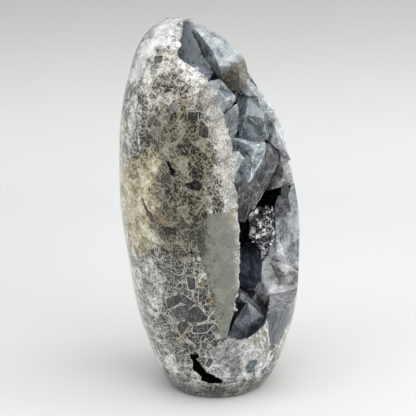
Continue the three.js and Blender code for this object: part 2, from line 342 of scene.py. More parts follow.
class Shader:
    """A material whose nodes are made by short calls that return output sockets."""

    def __init__(self, name):
        self.material = bpy.data.materials.new(name)
        self.material.use_nodes = True
        self.tree = self.material.node_tree
        self.tree.nodes.clear()
        self.output = self.tree.nodes.new("ShaderNodeOutputMaterial")
        self.shader = self.tree.nodes.new("ShaderNodeBsdfPrincipled")
        self.tree.links.new(self.shader.outputs[0], self.output.inputs[0])
        coordinates = self.tree.nodes.new("ShaderNodeTexCoord")
        self.place = self.vector("SCALE", coordinates.outputs["Object"], scale=1 / MM)

    def put(self, socket, value):
        if isinstance(value, bpy.types.NodeSocket):
            self.tree.links.new(value, socket)
        elif isinstance(value, (tuple, list, Vector)) and len(value) == 3 and socket.type == "RGBA":
            socket.default_value = (*value, 1)
        else:
            socket.default_value = value

    def set(self, **values):
        """Sets the shader's inputs. The underscores stand for spaces."""
        for name, value in values.items():
            self.put(self.shader.inputs[name.replace("_", " ").title().replace("Ior", "IOR")], value)

    def node(self, kind, inputs, **settings):
        """A new node with these settings, and with a value or an output socket put to each input."""
        node = self.tree.nodes.new("ShaderNode" + kind)
        for name, value in settings.items():
            setattr(node, name, value)
        for key, value in inputs.items():
            self.put(node.inputs[key], value)
        return node

    def math(self, operation, a, b=0.0, c=0.0):
        return self.node("Math", {0: a, 1: b, 2: c}, operation=operation).outputs[0]

    def times(self, a, b):
        return self.math("MULTIPLY", a, b)

    def most(self, value, *others):
        for other in others:
            value = self.math("MAXIMUM", value, other)
        return value

    def swing(self, value, amount, onto):
        """Onto, moved up and down by a value that runs about 0.5."""
        return self.math("MULTIPLY_ADD", self.math("SUBTRACT", value, 0.5), amount, onto)

    def vector(self, operation, *vectors, scale=1.0):
        inputs = dict(enumerate(vectors))
        if operation == "SCALE":
            inputs[3] = scale
        node = self.node("VectorMath", inputs, operation=operation)
        return node.outputs["Value" if operation in ("LENGTH", "DOT_PRODUCT") else "Vector"]

    def ramp(self, value, low, high, to_low=0.0, to_high=1.0):
        """A smooth step from to_low to to_high as value goes from low to high."""
        inputs = dict(enumerate((value, low, high, to_low, to_high)))
        return self.node("MapRange", inputs, interpolation_type="SMOOTHSTEP").outputs[0]

    def colours(self, value, *stops):
        """A colour ramp from (place, colour) stops."""
        node = self.node("ValToRGB", {})
        elements = node.color_ramp.elements
        while len(elements) > 1:
            elements.remove(elements[-1])
        elements[0].position, elements[0].color = stops[0][0], (*stops[0][1], 1)
        for place, colour in stops[1:]:
            elements.new(place).color = (*colour, 1)
        self.put(node.inputs[0], value)
        return node.outputs[0]

    def greys(self, value, *stops):
        """A colour ramp from (place, grey level, how warm) stops."""
        return self.colours(value, *((place, grey(level, warm)) for place, level, warm in stops))

    def mix(self, factor, a, b):
        return self.node("Mix", {0: factor, 6: a, 7: b}, data_type="RGBA").outputs[2]

    def noise(self, place, size, detail=3.0, roughness=0.55, colour=False):
        """Noise whose features are about size mm wide."""
        inputs = {"Vector": place, "Scale": 1 / size, "Detail": detail, "Roughness": roughness}
        return self.node("TexNoise", inputs).outputs["Color" if colour else 0]

    def cells(self, place, size, edges=False):
        """Cells about size mm wide: a random colour for each, or how far away their edges are."""
        feature, output = ("DISTANCE_TO_EDGE", "Distance") if edges else ("F1", "Color")
        inputs = {"Vector": place, "Scale": 1 / size}
        return self.node("TexVoronoi", inputs, feature=feature).outputs[output]

    def scatter(self, place, size):
        """For cells about size mm wide, a random colour and the way from the cell's centre."""
        node = self.node("TexVoronoi", {"Vector": place, "Scale": 1 / size})
        return node.outputs["Color"], self.vector("SUBTRACT", place, node.outputs["Position"])

    def shaken(self, place, size, amount, detail=2.0):
        """A place moved about by noise, by about amount mm."""
        shake = self.vector("SUBTRACT", self.noise(place, size, detail, colour=True), (0.5, 0.5, 0.5))
        return self.vector("ADD", place, self.vector("SCALE", shake, scale=2 * amount))

    def turned(self, place, rotation):
        inputs = {"Vector": place, "Rotation": rotation}
        return self.node("VectorRotate", inputs, rotation_type="EULER_XYZ").outputs[0]

    def mapped(self, place, centre=(0, 0, 0), rotation=(0, 0, 0), half_size=(1, 1, 1)):
        """Place as seen from a centre, in turned axes, in units of half sizes."""
        inputs = {"Vector": place, "Location": centre, "Rotation": rotation, "Scale": half_size}
        return self.node("Mapping", inputs, vector_type="TEXTURE").outputs[0]

    def parts(self, vector):
        return self.node("SeparateXYZ", {0: vector}).outputs

    def attribute(self, name):
        return self.node("Attribute", {}, attribute_name=name).outputs["Fac"]

    def bump(self, height, distance, normal=None, strength=1.0):
        inputs = {"Height": height, "Distance": distance * MM, "Strength": strength}
        if normal is not None:
            inputs["Normal"] = normal
        return self.node("Bump", inputs).outputs[0]

    def absorb(self, colour, density):
        node = self.node("VolumeAbsorption", {"Color": colour, "Density": density})
        self.tree.links.new(node.outputs[0], self.output.inputs["Volume"])


def grey(level, warm=0.0):
    """A linear colour from an 8-bit grey level, warmer or cooler by some levels."""
    green, blue = (0.5, -1.4) if warm > 0 else (-0.3, -1.0)
    levels = (level + warm, level + green * warm, level + blue * warm)
    return tuple((max(v, 0) / 255) ** 2.2 for v in levels)


# ---- The polished stone -------------------------------------------------------------------------------
# The markings of the rind: outlines as the photograph shows them, in mm right of and above the middle
# of the picture.

ZONES = {
    "pale": [
        [(-43, 68), (-37, 83), (-27, 102), (-4, 104), (-9, 92), (-13, 86), (-19, 85), (-27, 85),
         (-31, 80), (-34, 71), (-38, 66)],
    ],
    "speckled": [
        [(-34, 75), (-27, 85), (-13, 86), (-5, 78), (3, 66), (-2, 62), (-10, 68), (-21, 74), (-28, 72),
         (-31, 62), (-33, 59), (-35, 67)],
    ],
    "mottled": [
        [(-28, 73), (-19, 72), (-10, 63), (-11, 56), (-17, 50), (-26, 52), (-30, 61)],
    ],
    "brown": [
        [(-32, 51), (-14, 58), (-5, 49), (2, 36), (4, 23), (0, 11), (2, -1), (-2, -14), (-5, -24),
         (-9, -30), (-19, -29), (-25, -21), (-31, -12), (-33, 4), (-31, 19), (-34, 36)],
    ],
    "cream": [
        [(-48, 22), (-40, 26), (-31, 31), (-26, 26), (-29, 13), (-27, 2), (-30, -10), (-28, -18),
         (-36, -25), (-44, -21), (-47, -4), (-48, 10)],
    ],
    "frosted": [
        [(1, -3), (10, -2), (17, -7), (18, -49), (15, -65), (7, -71), (5, -63), (2, -49), (-2, -32),
         (-5, -20), (-10, -15), (-6, -10)],
    ],
    "rim": [
        [(2, 67), (7, 59), (14, 36), (17, 15), (18, -5), (10, -4), (8, 10), (5, 31), (0, 47), (-6, 59),
         (-5, 65)],
    ],
    "streaky": [
        [(-48, -22), (-32, -22), (-21, -36), (-24, -49), (-21, -71), (-15, -84), (-10, -101),
         (-26, -101), (-36, -65), (-44, -44)],
        [(-49, 23), (-47, 42), (-40, 62), (-33, 76), (-30, 62), (-33, 48), (-36, 31), (-42, 22)],
    ],
    "slabs": [
        [(-26, -29), (-6, -29), (3, -49), (4, -65), (-7, -78), (-19, -76), (-24, -55)],
    ],
    "bluish": [
        [(-1, -77), (11, -71), (25, -73), (32, -80), (33, -88), (20, -92), (10, -95), (-1, -88)],
    ],
    "cleaved": [
        [(20.5, -69), (25, -66), (31, -58), (32, -62), (33, -73), (31.5, -81), (27.5, -79.5),
         (24.5, -74)],
    ],
    "slate": [
        [(31.5, -56.5), (33, -54.5), (44, -52.5), (43, -61), (38.5, -71), (34, -73.5), (32, -71)],
        [(20, -85), (23, -81.5), (27, -81), (24.5, -86.5), (21, -89)],
    ],
    # the spots are painted near black: painted shade of small pits, the first three of which are also cut
    "spots": [
        [(-13, 13.5), (-9.5, 13), (-7.5, 14.5), (-3, 13.5), (-2.5, 10), (-6, 9.5), (-10.5, 10.5)],
        [(-22.5, 25.5), (-21, 25.5), (-18, 19.5), (-18, 17), (-20, 17.5)],
        [(-9.5, -23.5), (-8, -23), (-8, -24.5), (-9.5, -24.5)],
        [(-33, 11), (-31, 11), (-31.5, 9.5), (-33, 9.5)],
        [(-24, 66.5), (-20.5, 66.5), (-20, 62), (-23, 61.5)],
        [(-25.5, -9.5), (-17, -10.5), (-16, -14), (-22.5, -15)],
        [(-23.5, 9.5), (-17, 9.5), (-17, 8), (-22.5, 7.5)],
        [(34, -74), (36, -73.5), (36.5, -75.5), (34, -75.5)],
    ],
    "rust": [
        [(-39.5, -7.5), (-37, -7), (-37, -13), (-39, -14)],
        [(-28.5, -1), (-23.5, -3), (-20.5, -7.5), (-23, -10.5), (-28, -6.5)],
        [(-15, 59), (-6.5, 57), (-10.5, 53.5), (-13.5, 54.5)],
        [(13, 36.5), (15, 36.5), (15, 27), (13.5, 27)],
        [(10.5, -3), (15, -1), (15, -6.5), (12, -7.5)],
        [(-6.5, -40.5), (-2, -37.5), (-1, -40.5), (-5, -45)],
        [(-1, -47), (2, -47), (3, -54.5), (0, -58), (1, -52.5)],
        [(-17, -71.5), (-12, -65.5), (-8.5, -62), (-7.5, -63), (-12, -68), (-16, -73)],
    ],
}
# Large grains with sharp outlines: the grey level of each and its outline.
SLABS = [
    (32, [(-14.5, -45.5), (-12.5, -46.5), (-5.5, -51.5), (-8.5, -52.5), (-14.5, -51)]),
    (48, [(-23, -48.5), (-14.5, -45.5), (-14.5, -51), (-21.5, -54.5)]),
    (90, [(-21.5, -56.5), (-16.5, -52.5), (-8, -51), (-11, -56), (-13, -60), (-17.5, -61.5)]),
    (27, [(-11, -56), (-8, -52.5), (-5, -52.5), (1, -59.5), (-2, -61), (-5.5, -61.5), (-13, -60.5)]),
    (24, [(-3, -52), (2, -51.5), (0.5, -56), (-2, -54.5)]),
    (20, [(-17, -63), (-14.5, -60.5), (-9, -62), (-13, -67.5), (-14.5, -69), (-16, -66)]),
    (44, [(-8.5, -63), (0.5, -61.5), (5, -61.5), (-2, -67), (-8.5, -67)]),
    (142, [(0.5, -76.5), (5.5, -74), (10.5, -70.5), (15.5, -70.5), (21, -73), (25, -74.5), (26, -79.5),
           (20, -85), (18, -88.5), (10.5, -88.5), (5.5, -84.5)]),
    (31, [(-2, -84.5), (0.5, -79.5), (3.5, -81.5), (0.5, -86)]),
    (28, [(-11, 51.5), (-5, 51.5), (-5.5, 46), (-8.5, 44.5), (-11, 47)]),
    (112, [(-14, 58.5), (-5.5, 56), (-11, 53)]),
    (48, [(-29, 81.5), (-23.5, 82), (-24.5, 77.5), (-29, 78)]),
    (42, [(-4.5, 48), (1, 43), (0, 36.5), (-5.5, 38.5)]),
    (25, [(-12, -36), (-6.5, -37.5), (-6.5, -44), (-10.5, -44)]),
    (44, [(-6.5, -16), (0, -13), (-1, -22.5), (-5.5, -23.5)]),
    (51, [(-36.5, 6), (-35, 6), (-31.5, -1.5), (-28.5, -7), (-29, -8.5), (-31, -7.5), (-34, -1)]),
    (27, [(-32.5, -0.5), (-30, -2), (-28, -7.5), (-29.5, -8.5)]),
    (214, [(-27, 91), (-24, 94), (-17, 94.5), (-13, 91), (-17, 88.5), (-25.5, 87.5)]),
    (198, [(-17.5, 83.5), (-12, 84.5), (-9.5, 80), (-13, 76), (-18, 78)]),
    (206, [(-9.5, 76), (-4.5, 76.5), (-0.5, 71), (-5, 67.5), (-10.5, 70.5)]),
    (190, [(-6, 66), (-1, 68.5), (2, 63), (-1.5, 59)]),
    (168, [(-31, 76), (-27, 78), (-24, 74), (-28.5, 70.5)]),
    (120, [(-21.5, 55.5), (-17, 56.5), (-15, 52.5), (-19.5, 50.5)]),
    (208, [(29.5, -46), (45, -42), (45, -50.5), (37, -52), (29.5, -50.5)]),
]

# How wide each zone's border is, in mm.
BORDERS = {
    "pale": 5, "speckled": 8, "mottled": 4, "brown": 6, "cream": 7, "frosted": 1.5, "rim": 4,
    "streaky": 9, "slabs": 7, "bluish": 2, "cleaved": 0.9, "slate": 0.9, "spots": 0.7, "rust": 1.6,
}
# The tones of the zones that are laid over one another, in this order: how ragged the zone's border is, how
# warm its tones are, and their dark, middle and pale levels.
ZONE_TONES = [
    ("streaky", 3.0, 5, 56, 136, 222),
    ("speckled", 3.0, 8, 116, 198, 240),
    ("slabs", 3.0, 7, 2, 28, 106),
    ("brown", 3.0, 13, 2, 36, 112),
    ("mottled", 3.0, 12, 2, 42, 158),
    ("cream", 2.0, 18, 70, 152, 194),
    ("bluish", 3.0, -3, 56, 118, 198),
    ("pale", 3.0, 1, 184, 226, 248),
]
FAR = 12                        # mm, the most that a distance to a border is told apart
SILL = 60                       # mm, the height of the mouth's lowest rim
BELOW_SILL = 0.8                # mm that the rim gets farther away with each mm below the sill
NARROWEST = 4                   # mm, the least half width that the hollow is taken to have
FACING = (0.0, 0.15)            # how squarely the outside faces the camera as the photograph's marks set in
SLABS_FACING = 0.1              # how much of them has set in where the slabs do


def picture_places(points):
    """Where points, in mm, show: mm right of and above the middle of the picture."""
    away = points - np.array(CAMERA_PLACE) / MM
    scale = -SIGHT_LENGTH / (away @ np.array(SIGHT_BACK))
    return np.stack([away @ np.array(SIGHT_RIGHT) * scale, away @ np.array(SIGHT_UP) * scale], axis=1)


def polygon_distance(places, corners):
    """How far places lie inside a polygon, or less than 0 for how far outside."""
    inside = np.zeros(len(places), bool)
    nearest = np.full(len(places), 1e9)
    for a, b in zip(corners, corners[1:] + corners[:1]):
        a, b = np.array(a, float), np.array(b, float)
        edge, offset = b - a, places - a
        t = np.clip(offset @ edge / (edge @ edge), 0, 1)
        nearest = np.minimum(nearest, np.linalg.norm(offset - t[:, None] * edge, axis=1))
        if a[1] != b[1]:
            crosses = (a[1] > places[:, 1]) != (b[1] > places[:, 1])
            inside ^= crosses & (places[:, 0] < a[0] + (places[:, 1] - a[1]) / edge[1] * edge[0])
    return np.where(inside, nearest, -nearest)


def hidden_zones(points, rim):
    """The zones of the side that the photograph hides, as distances inside them."""
    height = points[:, 2]
    far = np.full(len(points), -float(FAR))
    return {
        "pale": height - 182 + 6 * hash_noise(points, 12, 21),
        "speckled": (height - 150) / 2 + 8 * hash_noise(points, 22, 22),
        "mottled": 12 * hash_noise(points, 16, 23) - 7,
        "brown": 16 * hash_noise(points, 36, 24) - 3,
        "cream": 14 * hash_noise(points, 30, 25) - 7,
        "frosted": np.minimum(7 - rim, 10 * hash_noise(points, 40, 26)),
        "rim": 6 - rim,
        "streaky": 12 * hash_noise(points, 34, 27),
        "slabs": 12 * hash_noise(points, 30, 28) - 2,
        "bluish": 10 * hash_noise(points, 24, 29) - 5,
        "cleaved": far,
        "slate": 9 * hash_noise(points, 18, 30) - 6.5,
        "spots": 6 * hash_noise(points, 6, 31) - 5,
        "rust": 8 * hash_noise(points, 9, 32) - 6,
    }


def set_attribute(mesh, name, values):
    attribute = mesh.attributes.new(name, "FLOAT", "POINT")
    attribute.data.foreach_set("value", np.asarray(values, np.float32))


def rim_distance(points):
    """Roughly how far points of the outside lie from the mouth's rim, in mm."""
    height = points[:, 2]
    centre, half_x, half_y = hollow_ellipse(height)
    width, depth = np.maximum(half_x, NARROWEST), np.maximum(half_y, NARROWEST)
    ellipse = np.hypot(points[:, 0] / width, (points[:, 1] - centre) / depth)
    rim = (ellipse - 1) * width
    return np.where(height > SILL, rim, rim + (SILL - height) * BELOW_SILL)


def mark_rind(mesh):
    """Stores how far inside each zone and slab every vertex lies."""
    points = points_of(mesh)
    rim = rim_distance(points)
    places = picture_places(points)
    normals = vectors_of(mesh.vertices, "normal")
    towards = np.array(CAMERA_PLACE) / MM - points
    towards /= np.linalg.norm(towards, axis=1, keepdims=True)
    facing = smoothstep(*FACING, (normals * towards).sum(axis=1))
    hidden = hidden_zones(points, rim)
    for name, outlines in ZONES.items():
        distance = np.max([polygon_distance(places, outline) for outline in outlines], axis=0)
        distance = np.clip(distance, -FAR, FAR)
        blended = hidden[name] + (distance - hidden[name]) * facing
        set_attribute(mesh, name, np.clip(blended, -FAR, FAR))
    slabs = np.array([polygon_distance(places, outline) for _, outline in SLABS])
    levels = np.array([level for level, _ in SLABS])
    in_slab = np.clip(slabs.max(axis=0), -FAR, FAR)
    set_attribute(mesh, "slab", np.where(facing > SLABS_FACING, in_slab, -FAR))
    set_attribute(mesh, "slab_level", levels[slabs.argmax(axis=0)] / 255)
    set_attribute(mesh, "rim_distance", rim)


def frosty(level):
    """A slightly green grey."""
    return tuple((v / 255) ** 2.2 for v in (level + 3, level + 4, level - 8))


def polished_material():
    s = Shader("polished_celestite_rock")
    place = s.place

    # grains: straight-edged cuts through crystals, each with its own tone and its own way to lie
    grain_place = s.shaken(place, 4, 0.7)
    grain = s.cells(grain_place, 7.5)
    grain_edge = s.cells(grain_place, 7.5, edges=True)
    small_place = s.shaken(place, 2, 0.4)
    small = s.cells(small_place, 2.8)
    small_edge = s.cells(small_place, 2.8, edges=True)
    laid = s.turned(place, s.vector("SCALE", grain, scale=WHOLE_TURN))
    streaks = s.noise(s.vector("MULTIPLY", laid, (0.12, 1.0, 1.0)), 0.75, 2.0, 0.6)
    small_laid = s.turned(place, s.vector("SCALE", small, scale=WHOLE_TURN))
    fibres = s.noise(s.vector("MULTIPLY", small_laid, (0.15, 1.0, 1.0)), 0.5, 1.0, 0.6)
    mottle = s.noise(s.shaken(place, 8, 2.5), 6, 5, 0.62)
    fine = s.noise(place, 0.7, 3, 0.7)

    grit = s.cells(s.shaken(place, 1.5, 0.3), 1.1)
    tone = mottle
    swings = ((grain, 0.6), (small, 0.45), (grit, 0.34), (fine, 0.9), (fibres, 0.4), (streaks, 0.4))
    for value, amount in swings:
        tone = s.swing(value, amount, tone)

    def palette(warm, dark, middle, pale):
        return s.greys(tone, (0.25, dark, warm), (0.5, middle, warm), (0.76, pale, warm * 0.6),
                       (1.0, min(pale * 1.2, 250), warm * 0.6))

    wobble = s.math("SUBTRACT", s.noise(place, 3.2, 5, 0.65), 0.5)

    def zone(name, ragged=3.0):
        """A mask for a zone, whose border runs ragged by about its own width."""
        distance = s.math("DIVIDE", s.attribute(name), BORDERS[name])
        return s.ramp(s.math("MULTIPLY_ADD", wobble, ragged, distance), -0.45, 0.45)

    colour = palette(7, 10, 68, 184)
    for name, ragged, *tones in ZONE_TONES:
        colour = s.mix(zone(name, ragged), colour, palette(*tones))
    height = s.parts(place)[2]
    # painted shade: the rind is painted darker towards its foot, where it curves in under itself
    painted_foot_shade = s.ramp(s.math("MULTIPLY_ADD", wobble, 10.0, height), 17.0, 6.0)
    colour = s.mix(s.times(painted_foot_shade, 0.8), colour, palette(6, 2, 14, 70))

    # slabs: large grains with sharp outlines
    near = s.math("MULTIPLY_ADD", wobble, 0.3, s.attribute("slab"))
    level = s.times(s.attribute("slab_level"), s.swing(fine, 0.8, s.swing(tone, 1.0, 1.0)))
    slab_colour = s.greys(level, *((v / 255, v, 1) for v in (20, 60, 100, 150, 200, 240)))
    in_slab = s.ramp(near, 0.0, 0.4)
    colour = s.mix(s.times(in_slab, 0.92), colour, slab_colour)

    # white lines: grain boundaries, cleavage and scattered needles
    def needles(size, length, width, shift, spacing=None):
        """Straight lines in every cell of about size mm, laid its own way. Bundled with a spacing."""
        turn, offset = s.scatter(s.vector("ADD", place, (shift, shift, shift)), size)
        across = s.turned(offset, s.vector("SCALE", turn, scale=WHOLE_TURN))
        along, beside, _ = s.parts(s.vector("ABSOLUTE", across))
        if spacing:
            beside = s.math("PINGPONG", beside, spacing)
        return s.times(s.ramp(beside, width, width * 0.3), s.ramp(along, length, length * 0.7))

    broken = s.ramp(s.noise(place, 4, 2), 0.4, 0.56)
    lines = s.most(
        s.times(needles(5.5, 2.7, 0.19, 3.0, 0.9), broken),
        needles(3.2, 1.7, 0.2, 40.0),
        needles(8.0, 5.0, 0.21, 80.0),
        s.times(s.ramp(fine, 0.6, 0.68), 0.8),
        s.times(s.ramp(grain_edge, 0.035, 0.01), broken),
        s.times(s.ramp(small_edge, 0.045, 0.01), 0.5),
    )
    lines = s.times(lines, s.ramp(in_slab, 0.0, 1.0, 1.0, 0.28))
    outline = s.ramp(s.math("ABSOLUTE", near), 0.32, 0.12)
    lines = s.most(lines, s.times(outline, s.ramp(wobble, -0.12, 0.02)))
    bright = s.mix(zone("brown"), grey(234, 4), grey(170, 10))
    bright = s.mix(zone("cream"), bright, grey(208, 18))
    # the white lines are dimmed in the painted shade near the foot too
    lines = s.times(lines, s.ramp(painted_foot_shade, 0.0, 1.0, 0.55, 0.25))
    colour = s.mix(lines, colour, bright)
    cracks = s.times(needles(4.2, 1.8, 0.2, 120.0), s.ramp(mottle, 0.6, 0.42))
    pits = s.ramp(s.noise(place, 1.3, 3, 0.7), 0.6, 0.66)
    dark = s.most(s.times(cracks, 0.8), s.times(pits, 0.75))
    dark = s.times(dark, s.math("SUBTRACT", 1.0, zone("pale")))
    colour = s.mix(dark, colour, grey(18, 4))

    # the frosted band along the rim, and the rim itself
    frost_tone = s.swing(fine, 1.3, s.swing(mottle, 1.0, s.noise(place, 4, 5, 0.65)))
    low_end = s.ramp(height, 68, 58, 0.0, 0.62)
    towards_rim = s.most(s.ramp(s.attribute("rim_distance"), 14, 1), low_end)
    frost_tone = s.math("MULTIPLY_ADD", towards_rim, 0.78, frost_tone)
    frost = s.colours(frost_tone, (0.3, frosty(22)), (0.56, frosty(40)), (0.84, frosty(114)))
    flecks = s.ramp(s.noise(place, 1.0, 3, 0.7), 0.66, 0.72)
    frost = s.mix(s.times(flecks, 0.6), frost, frosty(236))
    colour = s.mix(s.times(zone("frosted", 1.5), 0.9), colour, frost)
    rim_tone = s.swing(fine, 1.0, mottle)
    rim_rock = s.greys(rim_tone, (0.25, 80, 5), (0.5, 138, 5), (0.75, 220, 4))
    colour = s.mix(s.times(zone("rim", 2.0), 0.85), colour, rim_rock)
    near_rim = s.math("MULTIPLY_ADD", wobble, 4.0, s.attribute("rim_distance"))
    colour = s.mix(s.ramp(near_rim, 2.5, 0.0), colour, rim_rock)

    # separate marks
    upright = s.noise(s.vector("MULTIPLY", place, (1.0, 1.0, 0.1)), 1.0, 3)
    slate = s.greys(upright, (0.35, 48, -7), (0.5, 72, -7), (0.68, 124, -6))
    colour = s.mix(s.times(zone("slate", 1.0), 0.92), colour, slate)
    slanted = s.turned(s.shaken(place, 4, 2.0), (0.0, 0.5, 0.6))
    split = s.noise(s.vector("MULTIPLY", slanted, (1.0, 1.0, 0.14)), 1.1, 3, 0.6)
    cleaved = s.greys(split, (0.36, 92, 5), (0.5, 146, 4), (0.6, 214, 2))
    colour = s.mix(s.times(zone("cleaved", 1.0), 0.9), colour, cleaved)
    rust = s.times(zone("rust", 3.5), s.ramp(fine, 0.35, 0.6, 0.15, 0.5))
    colour = s.mix(rust, colour, (0.3, 0.2, 0.08))
    # the spots painted near black: painted shade of small pits
    spots = s.times(zone("spots", 6.0), s.ramp(fine, 0.66, 0.5, 0.1, 1.0))
    colour = s.mix(spots, colour, grey(7, 2))

    s.set(base_color=colour, roughness=s.ramp(fine, 0.3, 0.75, 0.14, 0.32), ior=1.6)
    s.set(coat_weight=s.ramp(spots, 0.0, 0.6, 0.3, 0.0), coat_roughness=0.06)
    s.set(specular_ior_level=0.3)
    uneven = s.bump(s.noise(place, 14, 2), 0.5, strength=0.35)
    s.set(normal=s.bump(tone, 0.08, uneven, strength=0.3))
    return s.material


DARK_WALL_MIDDLE = (28, -12, 92)  # mm
DARK_WALL_REACH = (22, 24, 36)  # mm
# The vug's wall is painted dark, as painted shade inside the hole.
VUG_DEEPER = Vector((9, 2, 0))  # mm, from the middle of the vug's mouth to the middle of the vug
VUG_REACH = (16, 16, 18)        # mm, how far the vug's dark wall reaches


def in_dark_wall(s):
    """A mask for the part of the right wall, deep in the hollow, painted near black: dark crystals, and
    painted shade.
    """
    reach = s.mapped(s.shaken(s.place, 5, 2), DARK_WALL_MIDDLE, half_size=DARK_WALL_REACH)
    return s.ramp(s.vector("LENGTH", reach), 1.15, 0.85)


def wall_material():
    """The rough rock between the druse crystals, with the vug painted black as painted shade, the dark part
    of the right wall painted near black, and the sawn foot.
    """
    s = Shader("natural_celestite_wall")
    tone = s.noise(s.place, 2.2, 5, 0.65)
    colour = s.greys(tone, (0.3, 92, -2), (0.52, 160, -2), (0.72, 212, 0))
    dark = s.greys(tone, (0.4, 12, -2), (0.7, 44, -3))
    # the dark part of the right wall painted near black: dark crystals, and painted shade
    colour = s.mix(in_dark_wall(s), colour, dark)
    # the vug's wall painted black: painted shade inside the hole
    vug_middle = (Vector(VUG_TOP) + Vector(VUG_BOTTOM)) / 2
    in_vug = s.mapped(s.place, vug_middle + VUG_DEEPER, half_size=VUG_REACH)
    colour = s.mix(s.ramp(s.vector("LENGTH", in_vug), 1.1, 0.9), colour, dark)
    # the pits' walls and the spots painted near black: painted shade
    colour = s.mix(s.ramp(s.attribute("spots"), -0.8, -0.2), colour, grey(9, 2))
    s.set(base_color=colour, roughness=s.ramp(tone, 0.3, 0.7, 0.5, 0.25), ior=1.6)
    s.set(normal=s.bump(s.cells(s.place, 1.4), 0.4, strength=0.6))
    return s.material


# Openings in the rind below the mouth, as the photograph shows them, and how deep they go, in mm.
POCKETS = {
    "bowl": (30, [(17, -45), (16, -52), (15, -59), (12, -65.5), (9, -69.5), (15, -71.5), (21, -70.5),
                  (26, -67), (30.5, -62.5), (33, -56), (35, -46), (30, -36), (18, -36)]),
    "vug_top": (9, [(-10, -78), (-5, -78), (-4.5, -80), (-7.5, -82), (-9.5, -80.5)]),
    "vug_middle": (14, [(-9, -80.5), (-6, -80.5), (-2, -86), (0.5, -89), (-3.5, -90.5), (-8, -87)]),
    "vug_bottom": (12, [(-4.5, -86.5), (0, -88), (5.5, -90.5), (8.5, -92.5), (7, -94), (1, -94),
                        (-4, -92.5)]),
}
PITS = ZONES["spots"][:3]       # the black spots that are pits
PIT_DEPTH = 2                   # mm
POCKET_FRONT = 6                # mm before the surface where a pocket's cutter begins
POCKET_TAPER = 0.8              # the width at the bottom of a pocket, as a part of its mouth's
POCKET_CUTS = 14                # how finely its wall is divided, to be roughened
POCKET_ROUGHNESS = 0.5          # mm
POCKET_MARGIN = 1.5             # mm around a pocket where no druse grows
POCKETS_TOP = 72                # mm, above all pockets
SIGHT_STEPS = np.arange(-55.0, 30.0, 0.25)  # mm, the X at which a line of sight is tried
RIND_SMOOTH = 38                # degrees, the sharpest edge of the rind that is shaded smooth


def surface_x(right, up):
    """The X at which the camera first sees the body there, in mm."""
    line = np.array([seen(right, up, x) for x in SIGHT_STEPS])
    return SIGHT_STEPS[int(np.argmax(inside_depth(line) >= 0))]


def pocket(name, depth, corners):
    """A rough cutter for an opening that looks towards the camera."""
    front = np.array([seen(right, up, surface_x(right, up) - POCKET_FRONT) for right, up in corners])
    back = np.array([seen(right, up, surface_x(right, up) + depth) for right, up in corners])
    back = back.mean(axis=0) + (back - back.mean(axis=0)) * POCKET_TAPER
    cutter = hull_object(name, np.vstack([front, back]))
    bm = bmesh.new()
    bm.from_mesh(cutter.data)
    bmesh.ops.subdivide_edges(bm, edges=bm.edges, cuts=POCKET_CUTS, use_grid_fill=True)
    bmesh.ops.triangulate(bm, faces=bm.faces)

    def rough(places):
        return POCKET_ROUGHNESS * (hash_noise(places, 2.0, 5) + 0.6 * hash_noise(places, 0.9, 6))

    push_along_normals(bm, rough)
    bm.to_mesh(cutter.data)
    bm.free()
    return cutter


def in_pocket(points):
    """Whether the first of the points lies in a pocket."""
    if points[0][2] > POCKETS_TOP:
        return False
    place = picture_places(points)
    for depth, corners in POCKETS.values():
        shown = polygon_distance(place, corners)[0] > -POCKET_MARGIN
        if shown and points[0][0] < surface_x(*place[0]) + depth:
            return True
    return False


def rind_object():
    rind = body_object()
    boolean(rind, hollow_object())
    for name, (depth, corners) in POCKETS.items():
        boolean(rind, pocket(name, depth, corners))
    for corners in PITS:
        boolean(rind, pocket("pit", PIT_DEPTH, corners))
    mesh = rind.data
    mesh.materials.clear()
    mesh.materials.append(polished_material())
    mesh.materials.append(wall_material())
    mark_rind(mesh)
    deep = inside_depth(vectors_of(mesh.polygons, "center") / MM) > GROUND_DEPTH
    mesh.polygons.foreach_set("material_index", deep.astype(np.int32))
    mesh.polygons.foreach_set("use_smooth", np.ones(len(mesh.polygons), bool))
    mesh.set_sharp_from_angle(angle=math.radians(RIND_SMOOTH))
    return rind


# ---- Druse --------------------------------------------------------------------------------------------

DRUSE_COUNT = 5200
DRUSE_HEIGHTS = (57.0, 197.0)   # mm
DRUSE_COVER = 1.2               # mm of rock that a crystal needs around its root
DRUSE_WIDTH = 2.9               # mm, of a crystal of size 1
DRUSE_LENGTH = 4.2              # mm, the same
SUNK = 1.0                      # mm of a small crystal's foot that is sunk into the rock
# The six corners of a small crystal's section, in half widths and half depths.
SECTION = [(1, 0), (0.45, 0.9), (-0.45, 0.9), (-1, 0), (-0.45, -0.9), (0.45, -0.9)]
CHISEL = 0.22                   # half the length of its chisel edge, as a part of its width


def prism(root, axis, across, width, depth, length, roof):
    """Vertices and faces of a small six-sided crystal that closes in a chisel edge."""
    beside = np.cross(axis, across)
    ring = [root + across * (u * width / 2) + beside * (v * depth / 2) for u, v in SECTION]
    shoulder = [p + axis * (length - roof) for p in ring]
    tips = [root + axis * length + across * (u * width * CHISEL) for u in (1, -1)]
    faces = [(i, (i + 1) % 6, 6 + (i + 1) % 6, 6 + i) for i in range(6)]
    faces += [(6, 7, 12), (7, 8, 13, 12), (8, 9, 13), (9, 10, 13), (10, 11, 12, 13), (11, 6, 12)]
    faces += [(5, 4, 3, 2, 1, 0)]
    return [*ring, *shoulder, *tips], faces


def unit(vector):
    return vector / np.linalg.norm(vector)


def add_crystal(vertices, faces, crystal):
    """Adds the vertices and faces of a small crystal to those of its druse."""
    shape, sides = crystal
    first = len(vertices)
    vertices += shape
    faces += [tuple(first + i for i in side) for side in sides]


def set_glints(mesh):
    """Gives every face a random value of its own, from which painted glints are set."""
    glint = mesh.attributes.new("glint", "FLOAT", "FACE")
    glint.data.foreach_set("value", RNG.uniform(0, 1, len(mesh.polygons)).astype(np.float32))


